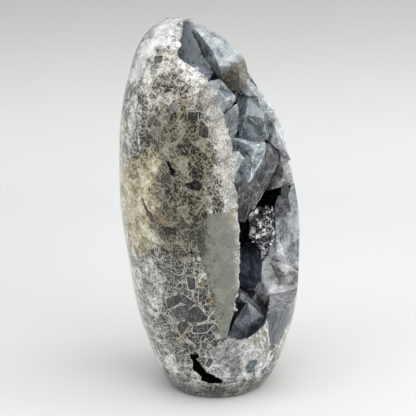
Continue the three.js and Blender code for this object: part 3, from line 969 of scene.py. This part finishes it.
def druse_object():
    vertices, faces = [], []
    made = 0
    while made < DRUSE_COUNT:
        height = RNG.uniform(*DRUSE_HEIGHTS)
        turn = RNG.uniform(0, 2 * np.pi)
        wall, out = hollow_points(np.array([height]), np.array([turn]))
        root, outward = wall[0], out[0]
        if inside_depth(wall)[0] < DRUSE_COVER or in_pocket(wall):
            continue
        size = RNG.uniform(0.5, 1.0) ** 1.5
        inward = -outward + np.array([0, 0, 0.25])
        axis = unit(unit(inward) + RNG.normal(0, 0.33, 3))
        across = unit(np.cross(axis, RNG.normal(0, 1, 3)))
        width = DRUSE_WIDTH * size * RNG.uniform(0.8, 1.25)
        crystal = prism(root - axis * SUNK, axis, across, width, width * RNG.uniform(0.6, 0.95),
                        SUNK + DRUSE_LENGTH * size, width * RNG.uniform(0.35, 0.7))
        add_crystal(vertices, faces, crystal)
        made += 1
    druse = new_object("druse", np.array(vertices), faces)
    set_glints(druse.data)
    return druse


def druse_material():
    s = Shader("druse_crystals")
    tone = s.noise(s.place, 3.5, 3)
    colour = s.greys(tone, (0.35, 122, -6), (0.5, 172, -5), (0.68, 224, -2))
    glint = s.attribute("glint")
    # near black faces, a few of them lighter: painted glints on the dark druse
    black = s.greys(glint, (0.0, 26, -5), (0.7, 54, -7), (0.9, 110, -7))
    # the druse there painted near black too: dark crystals, and painted shade
    colour = s.mix(in_dark_wall(s), colour, black)
    s.set(base_color=colour, roughness=s.ramp(s.noise(s.place, 1.5), 0.35, 0.65, 0.05, 0.25))
    s.set(transmission_weight=s.ramp(tone, 0.4, 0.62, 0.25, 0.05), ior=1.62)
    s.absorb((0.5, 0.6, 0.7), 60)
    return s.material


# The sparkling druse beside the dark gap: where its corners show, as for the crystals below.
SPARKLE_CORNERS = [(22, -1, 8), (28, -0.5, 9), (36, 1.5, 11), (36.5, -16, 10), (33, -21, 9),
                   (29, -29, 8), (26, -28, 7), (23, -16, 7)]
SPARKLE_FIELD = ((20, -30), (38, 3))  # mm, the least and the most that they lie to the right and up
SPARKLE_MARGIN = 0.3            # mm, how near the patch's outline a crystal may stand
SPARKLE_ROOT = (26, 12, -4)     # mm
SPARKLE_COUNT = 150
SPARKLE_FOOT = 0.9              # the foot's width, as a part of the patch's


def sparkle_object():
    """A patch of small slate crystals on a foot that reaches into the rock."""
    front = np.array([seen(*corner) for corner in SPARKLE_CORNERS])
    middle = front.mean(axis=0)
    inset = middle + (front - middle) * SPARKLE_FOOT
    foot = hull_object("sparkling_druse", np.vstack([inset, inset + np.array(SPARKLE_ROOT)]))
    normal = np.linalg.svd(front - middle, full_matrices=False)[2][2]
    normal = normal * -np.sign(normal[0])
    outline = [corner[:2] for corner in SPARKLE_CORNERS]
    vertices = list(points_of(foot.data))
    faces = [tuple(face.vertices) for face in foot.data.polygons]
    bpy.data.objects.remove(foot)
    made = 0
    while made < SPARKLE_COUNT:
        right, up = RNG.uniform(*SPARKLE_FIELD)
        if polygon_distance(np.array([[right, up]]), outline)[0] < SPARKLE_MARGIN:
            continue
        line = np.array([seen(right, up, x) for x in (0, 20)])
        reach = (middle - line[0]) @ normal / ((line[1] - line[0]) @ normal)
        root = line[0] + (line[1] - line[0]) * reach
        axis = unit(normal + RNG.normal(0, 0.45, 3))
        across = unit(np.cross(axis, RNG.normal(0, 1, 3)))
        width = RNG.uniform(1.8, 4.6)
        crystal = prism(root - axis * SUNK, axis, across, width, width * RNG.uniform(0.6, 0.95),
                        RNG.uniform(2.0, 3.8), width * RNG.uniform(0.35, 0.7))
        add_crystal(vertices, faces, crystal)
        made += 1
    druse = new_object("sparkling_druse", np.array(vertices), faces)
    set_glints(druse.data)
    return druse


def sparkle_material():
    s = Shader("sparkling_druse_crystals")
    # faces painted near white at random: painted glints
    slate = s.greys(s.attribute("glint"), (0.0, 14, -5), (0.5, 80, -8),
                    (0.7, 146, -6), (0.74, 250, 0))
    bright = s.ramp(s.noise(s.place, 2.8, 3, 0.75), 0.52, 0.55)
    shaded = s.ramp(s.noise(s.place, 6.5, 2, 0.6), 0.5, 0.44)
    # patches painted near white: painted glints
    slate = s.mix(s.times(bright, 0.9), slate, grey(248, 0))
    # patches painted dark: painted shade
    slate = s.mix(s.times(shaded, 0.85), slate, grey(24, -4))
    s.set(base_color=slate, roughness=s.ramp(s.noise(s.place, 1.5), 0.35, 0.65, 0.05, 0.3), ior=1.62)
    s.set(normal=s.bump(s.noise(s.place, 0.8, 2), 0.05))
    return s.material


# ---- Crystals -----------------------------------------------------------------------------------------
# The crystals that the photograph shows: the piece that each belongs to, how far behind its corners it is
# rooted, in mm, and its corners. Those of one piece are grown into one another. The corners are where they
# show in the picture, as seen() takes them: mm to the right, mm up, and X.
SHOWN = [
    ("slate_blade", (8, 16, 14), [
        (-14, 99.5, 2.5), (-8.5, 97.5, 0.5), (-6, 92, -0.5), (-1.5, 86.5, -2.5), (1.5, 81.5, -4),
        (2.5, 77, -4.5), (1, 73.5, -4), (-2.5, 73.5, -2.5), (-9.5, 79, 0.5), (-16, 87.5, 3), (-18, 94, 4)]),
    ("pale_clay_tipped_block", (10, 16, 14), [
        (-12, 100.5, 6), (-7.5, 99.5, 5), (-3, 97.5, 5), (1.5, 95, 5), (5.5, 93, 5), (9.5, 90, 5),
        (13.5, 85.5, 4), (16, 80, 0), (13, 71.5, -4), (7.5, 67.5, -6), (2, 76, -6), (1, 81.5, -4),
        (-2, 87, -2), (-6, 92.5, 0), (-8.5, 97, 2), (-4.5, 93, -4), (2.5, 84, -8), (6, 76, -10),
        (12, 76, -9)]),
    ("pale_clay_tipped_block", (10, 16, 14), [
        (12.5, 85, 4), (17.5, 83, 3), (20, 78.5, 2), (21, 74.5, 1), (21.5, 69.5, 0), (19.5, 65.5, 0),
        (16.5, 61.5, 0), (13, 63.5, -3), (8.5, 66.5, -5), (6, 71.5, -6), (9.5, 79, -8), (16, 77.5, -8),
        (17, 69.5, -8)]),
    ("pale_blue_knob", (-16, 8, -8), [
        (1, 68.5, -16), (6.5, 69, -13), (10.5, 64.5, -12), (14.5, 60.5, -12), (15, 58, -12),
        (12, 53.5, -14), (7.5, 51, -17), (3, 52.5, -20), (0, 62, -20), (5.5, 63, -20), (10, 58, -19)]),
    ("pale_blue_knob", (-16, 8, -8), [
        (8.5, 51, -14), (16, 56.5, -8), (17, 50.5, -8), (16, 41.5, -8), (15, 38.5, -8), (11, 41.5, -12),
        (7.5, 48, -16)]),
    ("large_blue_grey_block", (28, 14, -8), [
        (16, 60, 2), (22, 62, 2), (26, 57, 3), (30.5, 52.5, 4), (32.5, 46, 4), (33, 38, 4), (31, 36, 2),
        (16, 47.5, -8), (20.5, 50, -8), (29.5, 48.5, -5), (31.5, 40, -5), (25.5, 35.5, -6), (17, 37, -8),
        (14, 40.5, -5), (14.5, 49, -4)]),
    ("outer_sloping_crystal", (18, 26, 12), [
        (18.5, 64, 2), (21.5, 66.5, 3), (25.5, 65.5, 4), (29, 60.5, 5), (31.5, 56, 6), (35.5, 54, 7),
        (36, 51.5, 7), (31.5, 48, 5), (29, 51.5, 1), (23.5, 58, -1), (20, 60.5, -1), (27, 59.5, -2)]),
    ("upper_right_facets", (24, 24, -4), [
        (31, 49, 5), (35.5, 51.5, 7), (37.5, 47, 8), (40, 42.5, 9), (41.5, 36.5, 9), (41.5, 31.5, 8),
        (38.5, 30.5, 6), (33.5, 35, 4), (32, 41.5, 4), (36, 44, 3)]),
    ("upper_right_facets", (24, 24, -4), [
        (38, 31, 7), (41.5, 31.5, 9), (44.5, 25.5, 11), (39, 25, 9)]),
    ("hanging_lavender_prism", (20, 16, 6), [
        (12.5, 37.5, -10), (18, 36.5, -9), (25, 35.5, -6), (31, 35, -1), (31, 29.5, -1), (28, 22.5, -2),
        (24.5, 16, -3), (22.5, 12, -4), (17, 9.5, -8), (14, 10.5, -10), (13, 20.5, -11), (24.5, 33, -10),
        (23, 15, -9)]),
    ("clear_rim_crystal", (-8, 14, -6), [
        (12, 30.5, -29), (16.5, 30.5, -27), (19.5, 27, -26), (17, 22.5, -27), (14.5, 17.5, -29),
        (12, 21.5, -31), (9.5, 27, -33), (15, 26, -31)]),
    ("long_crossing_prism", (12, 12, 4), [
        (31.5, 35, 4.5), (38.5, 32, 9), (37.5, 24, 6), (32, 11, -1.5), (25.5, 0.5, -9), (19.5, -8, -16.5),
        (15.5, -6.5, -19), (12.5, -1.5, -20), (12, 2.5, -19), (15.5, 9.5, -14.5), (23.5, 21.5, -5)]),
    ("pale_clear_block", (24, 16, -4), [
        (36.5, 24.5, 10), (38.5, 27, 11), (44, 26, 14), (46, 22, 15), (47.5, 16.5, 16), (46, 13, 14),
        (41.5, 12, 11), (38, 13, 9), (34, 13, 8), (32, 9.5, 8), (35, 17, 8), (40.5, 20.5, 6),
        (39.5, 15, 6)]),
    ("grey_blue_right_crystal", (22, 14, -4), [
        (36, 2, 9.5), (37.5, 6.5, 11), (43, 6.5, 14), (43.5, 2, 13.5), (44.5, -2.5, 13.5), (39, -5.5, 10),
        (36, -4.5, 8.5)]),
    ("grey_blue_right_crystal", (22, 14, -4), [
        (39, 11, 12), (43, 12, 14), (44.5, 7.5, 15), (43, 5.5, 14), (39, 6.5, 12)]),
    ("right_outline_cluster", (22, 16, -4), [
        (43, 6.5, 13.5), (44.5, 12, 14.5), (48.5, 13.5, 17), (52, 5.5, 18.5), (52.5, -3.5, 18),
        (51.5, -13, 17), (48, -17, 15), (44.5, -10.5, 13.5), (44, -2, 13.5)]),
    ("right_outline_cluster", (22, 16, -4), [
        (36, -4.5, 9), (39, -5, 10.5), (44, -2, 13), (48, -7.5, 15), (48.5, -13, 15.5), (45.5, -16.5, 13.5),
        (40, -17, 11), (36.5, -16.5, 9)]),
    ("right_outline_cluster", (22, 16, -4), [
        (39, -16.5, 9.5), (44, -15.5, 13), (48, -13, 15.5), (52, -16, 18), (52, -29, 17.5), (48, -30, 15.5),
        (43, -29, 12), (40, -25.5, 10.5)]),
    ("lower_right_cluster", (20, 16, -10), [
        (33, -21, 7), (36.5, -16.5, 9), (40, -17, 11), (40.5, -25.5, 10), (36.5, -29, 8), (32, -27, 6),
        (36.5, -23, 6)]),
    ("lower_right_cluster", (20, 16, -10), [
        (29, -29, 4), (32, -25.5, 6), (36.5, -28.5, 8), (37.5, -37, 8.5), (39, -39.5, 9), (34, -41, 6.5),
        (29, -39, 4), (31.5, -33, 5.5)]),
    ("lower_right_cluster", (20, 16, -10), [
        (36.5, -28, 8.5), (40.5, -25, 10.5), (48, -29, 15), (52.5, -31, 17.5), (52.5, -36.5, 18),
        (47.5, -35, 15.5), (42.5, -30.5, 12)]),
    ("lower_right_cluster", (20, 16, -10), [
        (33.5, -40, 7), (39, -38.5, 10), (45, -40.5, 13), (52.5, -38.5, 17.5), (52, -44, 17),
        (44, -45, 12.5), (35.5, -44, 8)]),
    ("lower_right_cluster", (20, 16, -10), [
        (25, -44, 2), (29, -38.5, 4), (36, -40.5, 7), (44, -44, 11), (51.5, -42.5, 18), (51, -48.5, 18),
        (45, -53.5, 12), (38.5, -54.5, 8), (32, -54.5, 4), (30, -51, 2), (33, -47, 2)]),
    ("clear_slanting_prism", (10, 14, -4), [
        (33, -29, 6), (36, -28.5, 7), (42.5, -30, 11), (48, -34, 14), (52, -36.5, 18), (52, -40, 18),
        (45, -41, 11), (39, -39.5, 8), (37.5, -37, 7), (39.5, -33.5, 5)]),
    ("upright_navy_prism", (10, 8, -18), [
        (16.5, -21, -1), (19.5, -18, -3), (26, -18, -8.5), (28.5, -22, -10), (29, -29, -10),
        (29, -37.5, -9.5), (25.5, -43.5, -6.5), (20.5, -43.5, -2.5), (16.5, -39.5, 0.5), (16, -29, 0)]),
    ("slate_floor_crystal", (12, 5, 1), [
        (21, -50, -17), (30, -58.5, -15), (27.5, -64, -17), (21, -69.5, -22), (10.5, -70, -26),
        (14, -61, -24.5), (23.5, -61, -20.5)]),
    ("slate_floor_crystal", (10, 12, -10), [
        (17.5, -45.5, -18), (22, -48, -17), (21, -50.5, -18), (19.5, -50.5, -19), (17, -48, -20)]),
]
# The pieces that are ground off flush with the polished outside.
FLUSH = {"pale_clear_block", "grey_blue_right_crystal", "right_outline_cluster", "lower_right_cluster",
         "clear_slanting_prism"}
HIGHEST_ROOT = 193              # mm
ROOT_COVER = 2.5                # mm of rock outside the roots
ROOT_TAPER = 0.85               # the width at the root, as a part of the width that shows


# How a piece looks. level is its grey level and warm how many levels warmer it is, or cooler. cloud is how
# much cloud it holds, clear how much light it lets through at least and at most, and rough its roughness.
# Then which way its lighter faces look and how much lighter they are: painted light. green is how strong
# its green is, and shine how strong its highlights are. shades are darker levels that it takes on past a
# height, each with the height where the darkening begins and the height where it is full, in mm. At the
# slate blade's lower end, deep under the rim, and at the upright navy prism's foot, beside the slate floor
# crystal, they are painted shade; elsewhere they only darken a crystal towards one end.
Look = namedtuple("Look", "level warm cloud clear rough paler green shine shades",
                  defaults=((0.0, 0.15), 0.12, ((0, 0, 1), 0.0), 1.0, 0.5, ()))
LOOKS = {
    "slate_blade": Look(level=240, warm=-7, cloud=0.2, clear=(0.0, 0.12), rough=0.1,
        shades=((177, 168, 72),)),
    "pale_clay_tipped_block": Look(level=160, warm=-6, cloud=0.6, clear=(0.02, 0.2), rough=0.15,
        paler=((-0.62, -0.35, 0.7), 0.3)),
    "pale_blue_knob": Look(level=118, warm=-7, cloud=0.6, clear=(0.02, 0.2),
        paler=((-0.3, -0.3, 1), 0.3)),
    "large_blue_grey_block": Look(level=99, warm=-8, cloud=0.35, paler=((-0.3, -0.3, 1), 0.5)),
    "outer_sloping_crystal": Look(level=174, warm=-5, cloud=0.7, clear=(0.05, 0.25),
        paler=((-0.3, -0.3, 1), 0.3)),
    "upper_right_facets": Look(level=172, warm=-3, cloud=0.7, clear=(0.05, 0.25), rough=0.15,
        paler=((0, -1, 0.2), 0.3)),
    "hanging_lavender_prism": Look(level=166, warm=-8, cloud=0.35, rough=0.14, paler=((0, -1, 0), 0.1)),
    "clear_rim_crystal": Look(level=172, warm=-3, cloud=0.45, clear=(0.15, 0.45), rough=0.08,
        paler=((0, 0, 1), 0.3)),
    "long_crossing_prism": Look(level=100, warm=-2, cloud=0.4, rough=0.25, paler=((-0.7, 0.5, 0.6), 0.5),
        shine=0.05, shades=((124, 102, 44),)),
    "pale_clear_block": Look(level=158, warm=-2, cloud=0.5, clear=(0.1, 0.4), rough=0.07,
        paler=((0, 0, 1), 0.3)),
    "grey_blue_right_crystal": Look(level=50, warm=-5, cloud=0.3, paler=((0, -1, 0), 0.3)),
    "right_outline_cluster": Look(level=146, warm=-5, cloud=0.7, clear=(0.02, 0.2), rough=0.14,
        paler=((0, -1, 0.3), 0.3)),
    "lower_right_cluster": Look(level=176, warm=-1, cloud=0.8, clear=(0.02, 0.2), rough=0.18,
        paler=((0, 0, 1), 0.4)),
    "clear_slanting_prism": Look(level=162, warm=-1, cloud=0.4, clear=(0.1, 0.4), rough=0.06,
        paler=((0, 0, 1), 0.4)),
    "upright_navy_prism": Look(level=124, warm=-14, cloud=0.3, clear=(0.05, 0.3), rough=0.1,
        paler=((0, 0, 1), 0.2), green=0.86, shades=((66, 82, 10), (60, 56, 12))),
    "slate_floor_crystal": Look(level=82, warm=-8, cloud=0.35, paler=((0, 0, 1), 0.5), green=0.94),
}
# The looks of the hidden crystals, by their material slot.
WALL_LOOKS = {
    "slate_celestite": "slate_floor_crystal",
    "blue_grey_celestite": "large_blue_grey_block",
    "lavender_celestite": "hanging_lavender_prism",
    "pale_celestite": "outer_sloping_crystal",
}
DARK_WALL_CRYSTAL = "wall_crystal_7_4"  # the one that shows beside the slate blade
CLAY_FROM = seen(14, 80, 0)     # where the pale block's clay-stained end begins
CLAY_TO = seen(19, 73, 0)       # and where the clay covers it


def clay_end(s):
    """A mask for the clay on the end of the pale block."""
    along = CLAY_TO - CLAY_FROM
    shift = s.vector("SUBTRACT", s.shaken(s.place, 4, 2.5, 4), tuple(CLAY_FROM))
    reach = s.vector("DOT_PRODUCT", shift, tuple(along / along.length_squared))
    patches = s.ramp(s.noise(s.place, 3, 4, 0.7), 0.3, 0.44)
    return s.times(s.ramp(reach, -0.2, 0.7), patches)


def clay(s):
    grains = s.noise(s.shaken(s.place, 2, 1), 1.3, 5, 0.75)
    return s.greys(grains, (0.3, 52, 7), (0.5, 104, 8), (0.68, 176, 5))


def crystal_material(name, look, axis):
    s = Shader(name)
    place = s.mapped(s.place, rotation=axis_rotation(axis).to_euler())
    # each face's random tone, plus painted light on the faces that look one way
    facet = s.attribute("facet")
    on_facet = s.vector("ADD", s.place, s.vector("SCALE", (7.0, 3.0, 5.0), scale=facet))

    # clouds and thin veils inside, splits and growth lines along the crystal, specks
    clouds = s.noise(s.shaken(s.place, 5, 2.5), 6, 5, 0.6)
    cloud = s.ramp(clouds, 0.6 - 0.16 * look.cloud, 0.86 - 0.2 * look.cloud)
    sheet = s.math("ABSOLUTE", s.math("SUBTRACT", s.noise(on_facet, 8, 4, 0.55), 0.5))
    veil = s.times(s.ramp(sheet, 0.028, 0.0), s.ramp(clouds, 0.4, 0.6))
    splits = s.noise(s.vector("MULTIPLY", place, (0.9, 0.9, 0.12)), 0.9, 3, 0.6)
    split = s.times(s.ramp(splits, 0.58, 0.7), s.ramp(s.noise(s.place, 5, 2), 0.44, 0.6))
    growth = s.noise(s.vector("MULTIPLY", place, (1.0, 1.0, 0.08)), 1.2, 3)
    slanted = s.turned(on_facet, (0.9, 0.3, 0.5))
    wisps = s.noise(s.vector("MULTIPLY", s.shaken(slanted, 6, 1.5), (0.16, 1.0, 1.0)), 1.1, 4, 0.65)
    wisp = s.times(s.ramp(wisps, 0.56, 0.68), s.ramp(clouds, 0.42, 0.58))
    fine = s.noise(s.place, 0.9, 3, 0.7)
    specks = s.ramp(fine, 0.62, 0.69)
    white = s.most(s.times(cloud, 0.9), s.times(veil, 0.75), s.times(s.most(split, wisp), 0.85),
                   s.times(specks, 0.65))
    # the bevelled edges, painted lighter below: chipped edges, and painted highlights along them
    edge = s.times(s.attribute("worn_and_highlight_painted"), s.ramp(s.noise(s.place, 2.5, 3), 0.4, 0.62))

    level, warm = look.level, look.warm
    tone = facet
    for value, amount in ((growth, 0.5), (clouds, 2.2), (wisps, 0.9), (fine, 1.1)):
        tone = s.swing(value, amount, tone)

    def tinted(level, part=1.0):
        red, green, blue = grey(level, warm * part)
        return red, green * look.green, blue

    def clouded(level):
        return s.colours(tone, (0.0, tinted(level * 0.52)), (0.4, tinted(level)),
                         (1.0, tinted(min(level * 1.25 + 30, 240))))

    body = clouded(level)
    # painted shade at the slate blade's lower end and the upright navy prism's foot; elsewhere a darker end
    for begins, ends, shade_level in look.shades:
        shaded = s.ramp(s.parts(s.shaken(s.place, 6, 4))[2], begins, ends)
        body = s.mix(shaded, body, clouded(shade_level))
    milk = tinted(min(level * 0.55 + 115, 242), 0.5)
    colour = s.mix(s.times(white, 0.7), body, milk)
    # bevelled edges painted lighter: chipped edges, and painted highlights
    colour = s.mix(s.times(edge, 0.7), colour, grey(min(level + 90, 244), warm * 0.3))
    if name.startswith("pale_clay_tipped_block"):
        colour = s.mix(clay_end(s), colour, clay(s))
    low, high = look.clear
    opaque = s.most(white, edge)
    s.set(base_color=colour, transmission_weight=s.ramp(opaque, 0.0, 0.9, high, low), ior=1.62)
    s.set(roughness=s.ramp(s.noise(on_facet, 3, 4), 0.35, 0.7, look.rough * 0.5, look.rough * 2.5))
    s.set(specular_ior_level=look.shine)
    s.set(normal=s.bump(s.math("ADD", tone, s.times(white, 0.4)), 0.13, strength=0.5))
    s.absorb(grey(150 + level * 0.4, warm), 30)
    return s.material


GROUND_TONE = 0.6
FLAT_ANGLE = 7                  # degrees, the most by which faces turn that count as one
SHARP_ANGLE = 12                # degrees, the least of an edge that is worn
SMOOTH_ANGLE = 22               # degrees, the most of an edge that is shaded smooth
EDGE_WEAR = 0.4                 # mm, width of the worn edges
SAME_CORNER = 0.02              # mm, the most by which two corners are apart that count as one
FACE_STEP = 1.3                 # mm, how finely the faces are divided
FACE_ROUNDS = 6                 # the most times that they are divided
UNEVEN = ((4.0, 0.2), (1.6, 0.09))  # mm, the size and the depth of the uneven places on a face
ROOT_DEPTH = 4.0                # mm, how much deeper the hidden crystals' roots go into the rock
NEAR_WALL = 1.3                 # mm, the most by which a corner at the root stands clear of the wall


def buried(points):
    """Points moved level towards the axis where they would come out of the body."""
    points = points.copy()
    points[:, 2] = np.minimum(points[:, 2], HIGHEST_ROOT)
    over = np.maximum(ROOT_COVER - inside_depth(points), 0)
    inward = np.stack([-points[:, 0], lean(points[:, 2]) - points[:, 1], 0 * over], axis=1)
    inward /= np.linalg.norm(inward, axis=1, keepdims=True)
    return points + inward * over[:, None]


def shown_crystal(name):
    """The solid of a piece that shows in the photograph."""
    piece = None
    for root, corners in [row[1:] for row in SHOWN if row[0] == name]:
        front = np.array([seen(*corner) for corner in corners])
        middle = front.mean(axis=0)
        back = buried(middle + (front - middle) * ROOT_TAPER + np.array(root))
        solid = hull_object(f"{name}_worn", np.vstack([front, back]))
        if piece is None:
            piece = solid
        else:
            boolean(piece, solid, "UNION")
    if name in FLUSH:
        boolean(piece, body_object(), "INTERSECT")
    return piece


def hidden_crystal(node, name):
    """The solid of a CAD crystal with its root pushed deeper into the rock."""
    mesh = node.data.copy()
    mesh.name = name
    mesh.materials.clear()
    places = points_of(mesh)
    centre, half_x, half_y = hollow_ellipse(places[:, 2])
    across = np.stack([places[:, 0], places[:, 1] - centre, 0 * centre], axis=1)
    ellipse = np.hypot(across[:, 0] / np.maximum(half_x, 1), across[:, 1] / np.maximum(half_y, 1))
    on_wall = ((ellipse - 1) * half_x > -NEAR_WALL) & (inside_depth(places) > ROOT_COVER)
    across /= np.linalg.norm(across, axis=1, keepdims=True)
    places += across * (ROOT_DEPTH * on_wall)[:, None]
    mesh.vertices.foreach_set("co", (places * MM).ravel())
    return add_object(name, mesh)


def wear_and_paint_light(obj, paler, seed):
    """Gives each face a random tone of its own, with painted light on the faces that look the given way,
    and wears the edges, whose bevels are painted lighter as chipped edges and as painted highlights. Both
    are kept as attributes of the faces.
    """
    rng = np.random.default_rng(seed)
    direction, amount = Vector(paler[0]).normalized(), paler[1]
    bm = bmesh.new()
    bm.from_mesh(obj.data)
    bmesh.ops.remove_doubles(bm, verts=bm.verts, dist=SAME_CORNER * MM)
    ground = {v for v in bm.verts if inside_depth(np.array([v.co]) / MM)[0] < GROUND_DEPTH}
    natural = [e for e in bm.edges if not ground.issuperset(e.verts)]
    inner = [v for v in bm.verts if v not in ground]
    bmesh.ops.dissolve_limit(bm, angle_limit=math.radians(FLAT_ANGLE), verts=inner, edges=natural)
    facet = bm.faces.layers.float.new("facet")
    worn_and_highlight_painted = bm.faces.layers.float.new("worn_and_highlight_painted")
    bm.normal_update()
    for face in bm.faces:
        towards = smoothstep(0.3, 0.95, face.normal.dot(direction))
        if ground.issuperset(face.verts):
            face[facet] = GROUND_TONE
            face.smooth = True
        else:
            # a random tone of its own, plus painted light where the face looks the given way
            face[facet] = 0.25 + 0.25 * rng.uniform() + amount * float(towards)
    sharp = [e for e in bm.edges if e.is_manifold and e.calc_face_angle(0) > math.radians(SHARP_ANGLE)
             and not ground.issuperset(e.verts)]
    made = bmesh.ops.bevel(bm, geom=sharp, offset=EDGE_WEAR * MM, segments=1, affect="EDGES",
                           clamp_overlap=True, material=-1)
    # the bevels, to be painted lighter: chipped edges, and painted highlights
    for face in made["faces"]:
        face[worn_and_highlight_painted] = 1
    bmesh.ops.triangulate(bm, faces=bm.faces)
    make_uneven(bm, seed)
    bm.to_mesh(obj.data)
    bm.free()
    obj.data.set_sharp_from_angle(angle=math.radians(SMOOTH_ANGLE))


def make_uneven(bm, seed):
    """Divides the faces and moves them in and out a little, except where they are ground."""
    for _ in range(FACE_ROUNDS):
        long_edges = [e for e in bm.edges if e.calc_length() > FACE_STEP * MM]
        if not long_edges:
            break
        bmesh.ops.subdivide_edges(bm, edges=long_edges, cuts=1)
        bmesh.ops.triangulate(bm, faces=bm.faces)
    for face in bm.faces:
        face.smooth = True

    def uneven(places):
        moves = sum(depth * hash_noise(places, size, seed) for size, depth in UNEVEN)
        moves[inside_depth(places) < GROUND_DEPTH] = 0
        return moves

    push_along_normals(bm, uneven)


def longest_axis(places):
    centred = places - places.mean(axis=0)
    return np.linalg.svd(centred, full_matrices=False)[2][0]


def build_crystals():
    slots = {part["node"]: part["material_slot"] for part in frame["record"]["subparts"]}
    for number, (node_name, node) in enumerate(sorted(frame["nodes"].items())):
        slot = slots[node_name]
        if slot == "polished_stone":
            continue
        if node_name in LOOKS:
            crystal = shown_crystal(node_name)
            look = LOOKS[node_name]
        else:
            crystal = hidden_crystal(node, f"{node_name}_worn")
            look = LOOKS["slate_floor_crystal" if node_name == DARK_WALL_CRYSTAL else WALL_LOOKS[slot]]
        wear_and_paint_light(crystal, look.paler, number)
        axis = longest_axis(points_of(crystal.data))
        crystal.data.materials.clear()
        crystal.data.materials.append(crystal_material(f"{node_name}_look", look, axis))
        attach(crystal, "root")
        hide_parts(node_name)


# ---- Studio -------------------------------------------------------------------------------------------

# The paper is painted darker up the backdrop: painted shade.
PAPER_LOW = (0.92, 0.92, 0.91)
PAPER_HIGH = (0.5, 0.505, 0.485)
PAPER_TURNS = (-30, 150)        # mm, between which heights the paper darkens
FLOOR_FRONT = 0.9               # m, how far the floor reaches towards the camera
BEND_START = 0.35               # m behind the stone, where the floor begins to curve up
BEND_RADIUS = 0.45              # m
BEND_STEPS = 16
SWEEP_SIZE = 1.6                # m, the height of the backdrop and half the width of the sweep
AIR_COLOUR = (0.95, 0.97, 1.0, 1)
AIR_STRENGTH = 0.5
# The lights: where each stands and where it looks, both in m towards the camera, to the picture's right and
# up, its width and height in m, and its power in W.
AT_STONE = (0, 0, 0.1)
AT_BACKDROP = (-0.8, 0, 0.35)
SOFTBOXES = [
    ("top_softbox", (0.2, -0.1, 1.0), AT_STONE, (1.0, 1.0), 3.6),
    ("left_softbox", (0.55, -0.85, 0.5), AT_STONE, (0.6, 0.9), 1.7),
    ("right_softbox", (0.9, 0.95, 0.55), AT_STONE, (1.0, 1.2), 7.5),
    ("rim_softbox", (-0.05, 1.35, 0.65), AT_STONE, (0.8, 1.2), 7),
    ("backdrop_softbox", (-0.15, 0, 1.25), AT_BACKDROP, (1.6, 0.5), 0.8),
]


def paper_material():
    """Pale paper, painted a little darker up the backdrop: painted shade."""
    s = Shader("studio_paper")
    height = s.parts(s.place)[2]
    s.set(base_color=s.colours(s.ramp(height, *PAPER_TURNS), (0.0, PAPER_LOW), (1.0, PAPER_HIGH)),
          roughness=0.9)
    return s.material


def studio():
    """A pale floor that curves up into a backdrop behind the stone."""
    toward = SIGHT.copy()
    toward.z = 0
    toward.normalize()
    side = Vector((-toward.y, toward.x, 0))
    reach = [(FLOOR_FRONT, 0.0), (-BEND_START, 0.0)]
    for k in range(1, BEND_STEPS + 1):
        angle = math.pi / 2 * k / BEND_STEPS
        reach.append((-BEND_START - BEND_RADIUS * math.sin(angle), BEND_RADIUS * (1 - math.cos(angle))))
    reach.append((-BEND_START - BEND_RADIUS, SWEEP_SIZE))

    def spot(forward, sideways, up):
        return toward * forward + side * sideways + Vector((0, 0, up))

    vertices = []
    for distance, height in reach:
        for across in (-SWEEP_SIZE, SWEEP_SIZE):
            vertices.append(spot(distance, across, height) / MM)
    faces = [(2 * i, 2 * i + 1, 2 * i + 3, 2 * i + 2) for i in range(len(reach) - 1)]
    sweep = new_object("studio_sweep", np.array([v[:] for v in vertices]), faces)
    sweep.data.polygons.foreach_set("use_smooth", [True] * len(faces))
    sweep.data.materials.append(paper_material())

    world = bpy.data.worlds.new("studio_air")
    world.use_nodes = True
    world.node_tree.nodes["Background"].inputs["Color"].default_value = AIR_COLOUR
    world.node_tree.nodes["Background"].inputs["Strength"].default_value = AIR_STRENGTH
    bpy.context.scene.world = world

    for name, place, aim, (width, height), power in SOFTBOXES:
        light = bpy.data.lights.new(name, "AREA")
        light.shape = "RECTANGLE"
        light.size, light.size_y = width, height
        light.energy = power
        obj = add_object(name, light)
        obj.location = spot(*place)
        obj.rotation_euler = (obj.location - spot(*aim)).to_track_quat("Z", "Y").to_euler()


def camera():
    data = bpy.data.cameras.new("camera")
    data.lens = LENS
    data.sensor_width = SENSOR
    data.clip_start = NEAREST
    obj = add_object("camera", data)
    obj.location = CAMERA_PLACE
    obj.rotation_euler = SIGHT.to_track_quat("Z", "Y").to_euler()
    bpy.context.scene.camera = obj


# ---- The scene ----------------------------------------------------------------------------------------

camera()
studio()
bpy.context.scene.view_settings.view_transform = "Standard"

rind = rind_object()
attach(rind, "root")
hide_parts("polished_rind")

druse = druse_object()
druse.data.materials.append(druse_material())
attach(druse, "root")

sparkle = sparkle_object()
sparkle.data.materials.append(sparkle_material())
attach(sparkle, "root")

build_crystals()
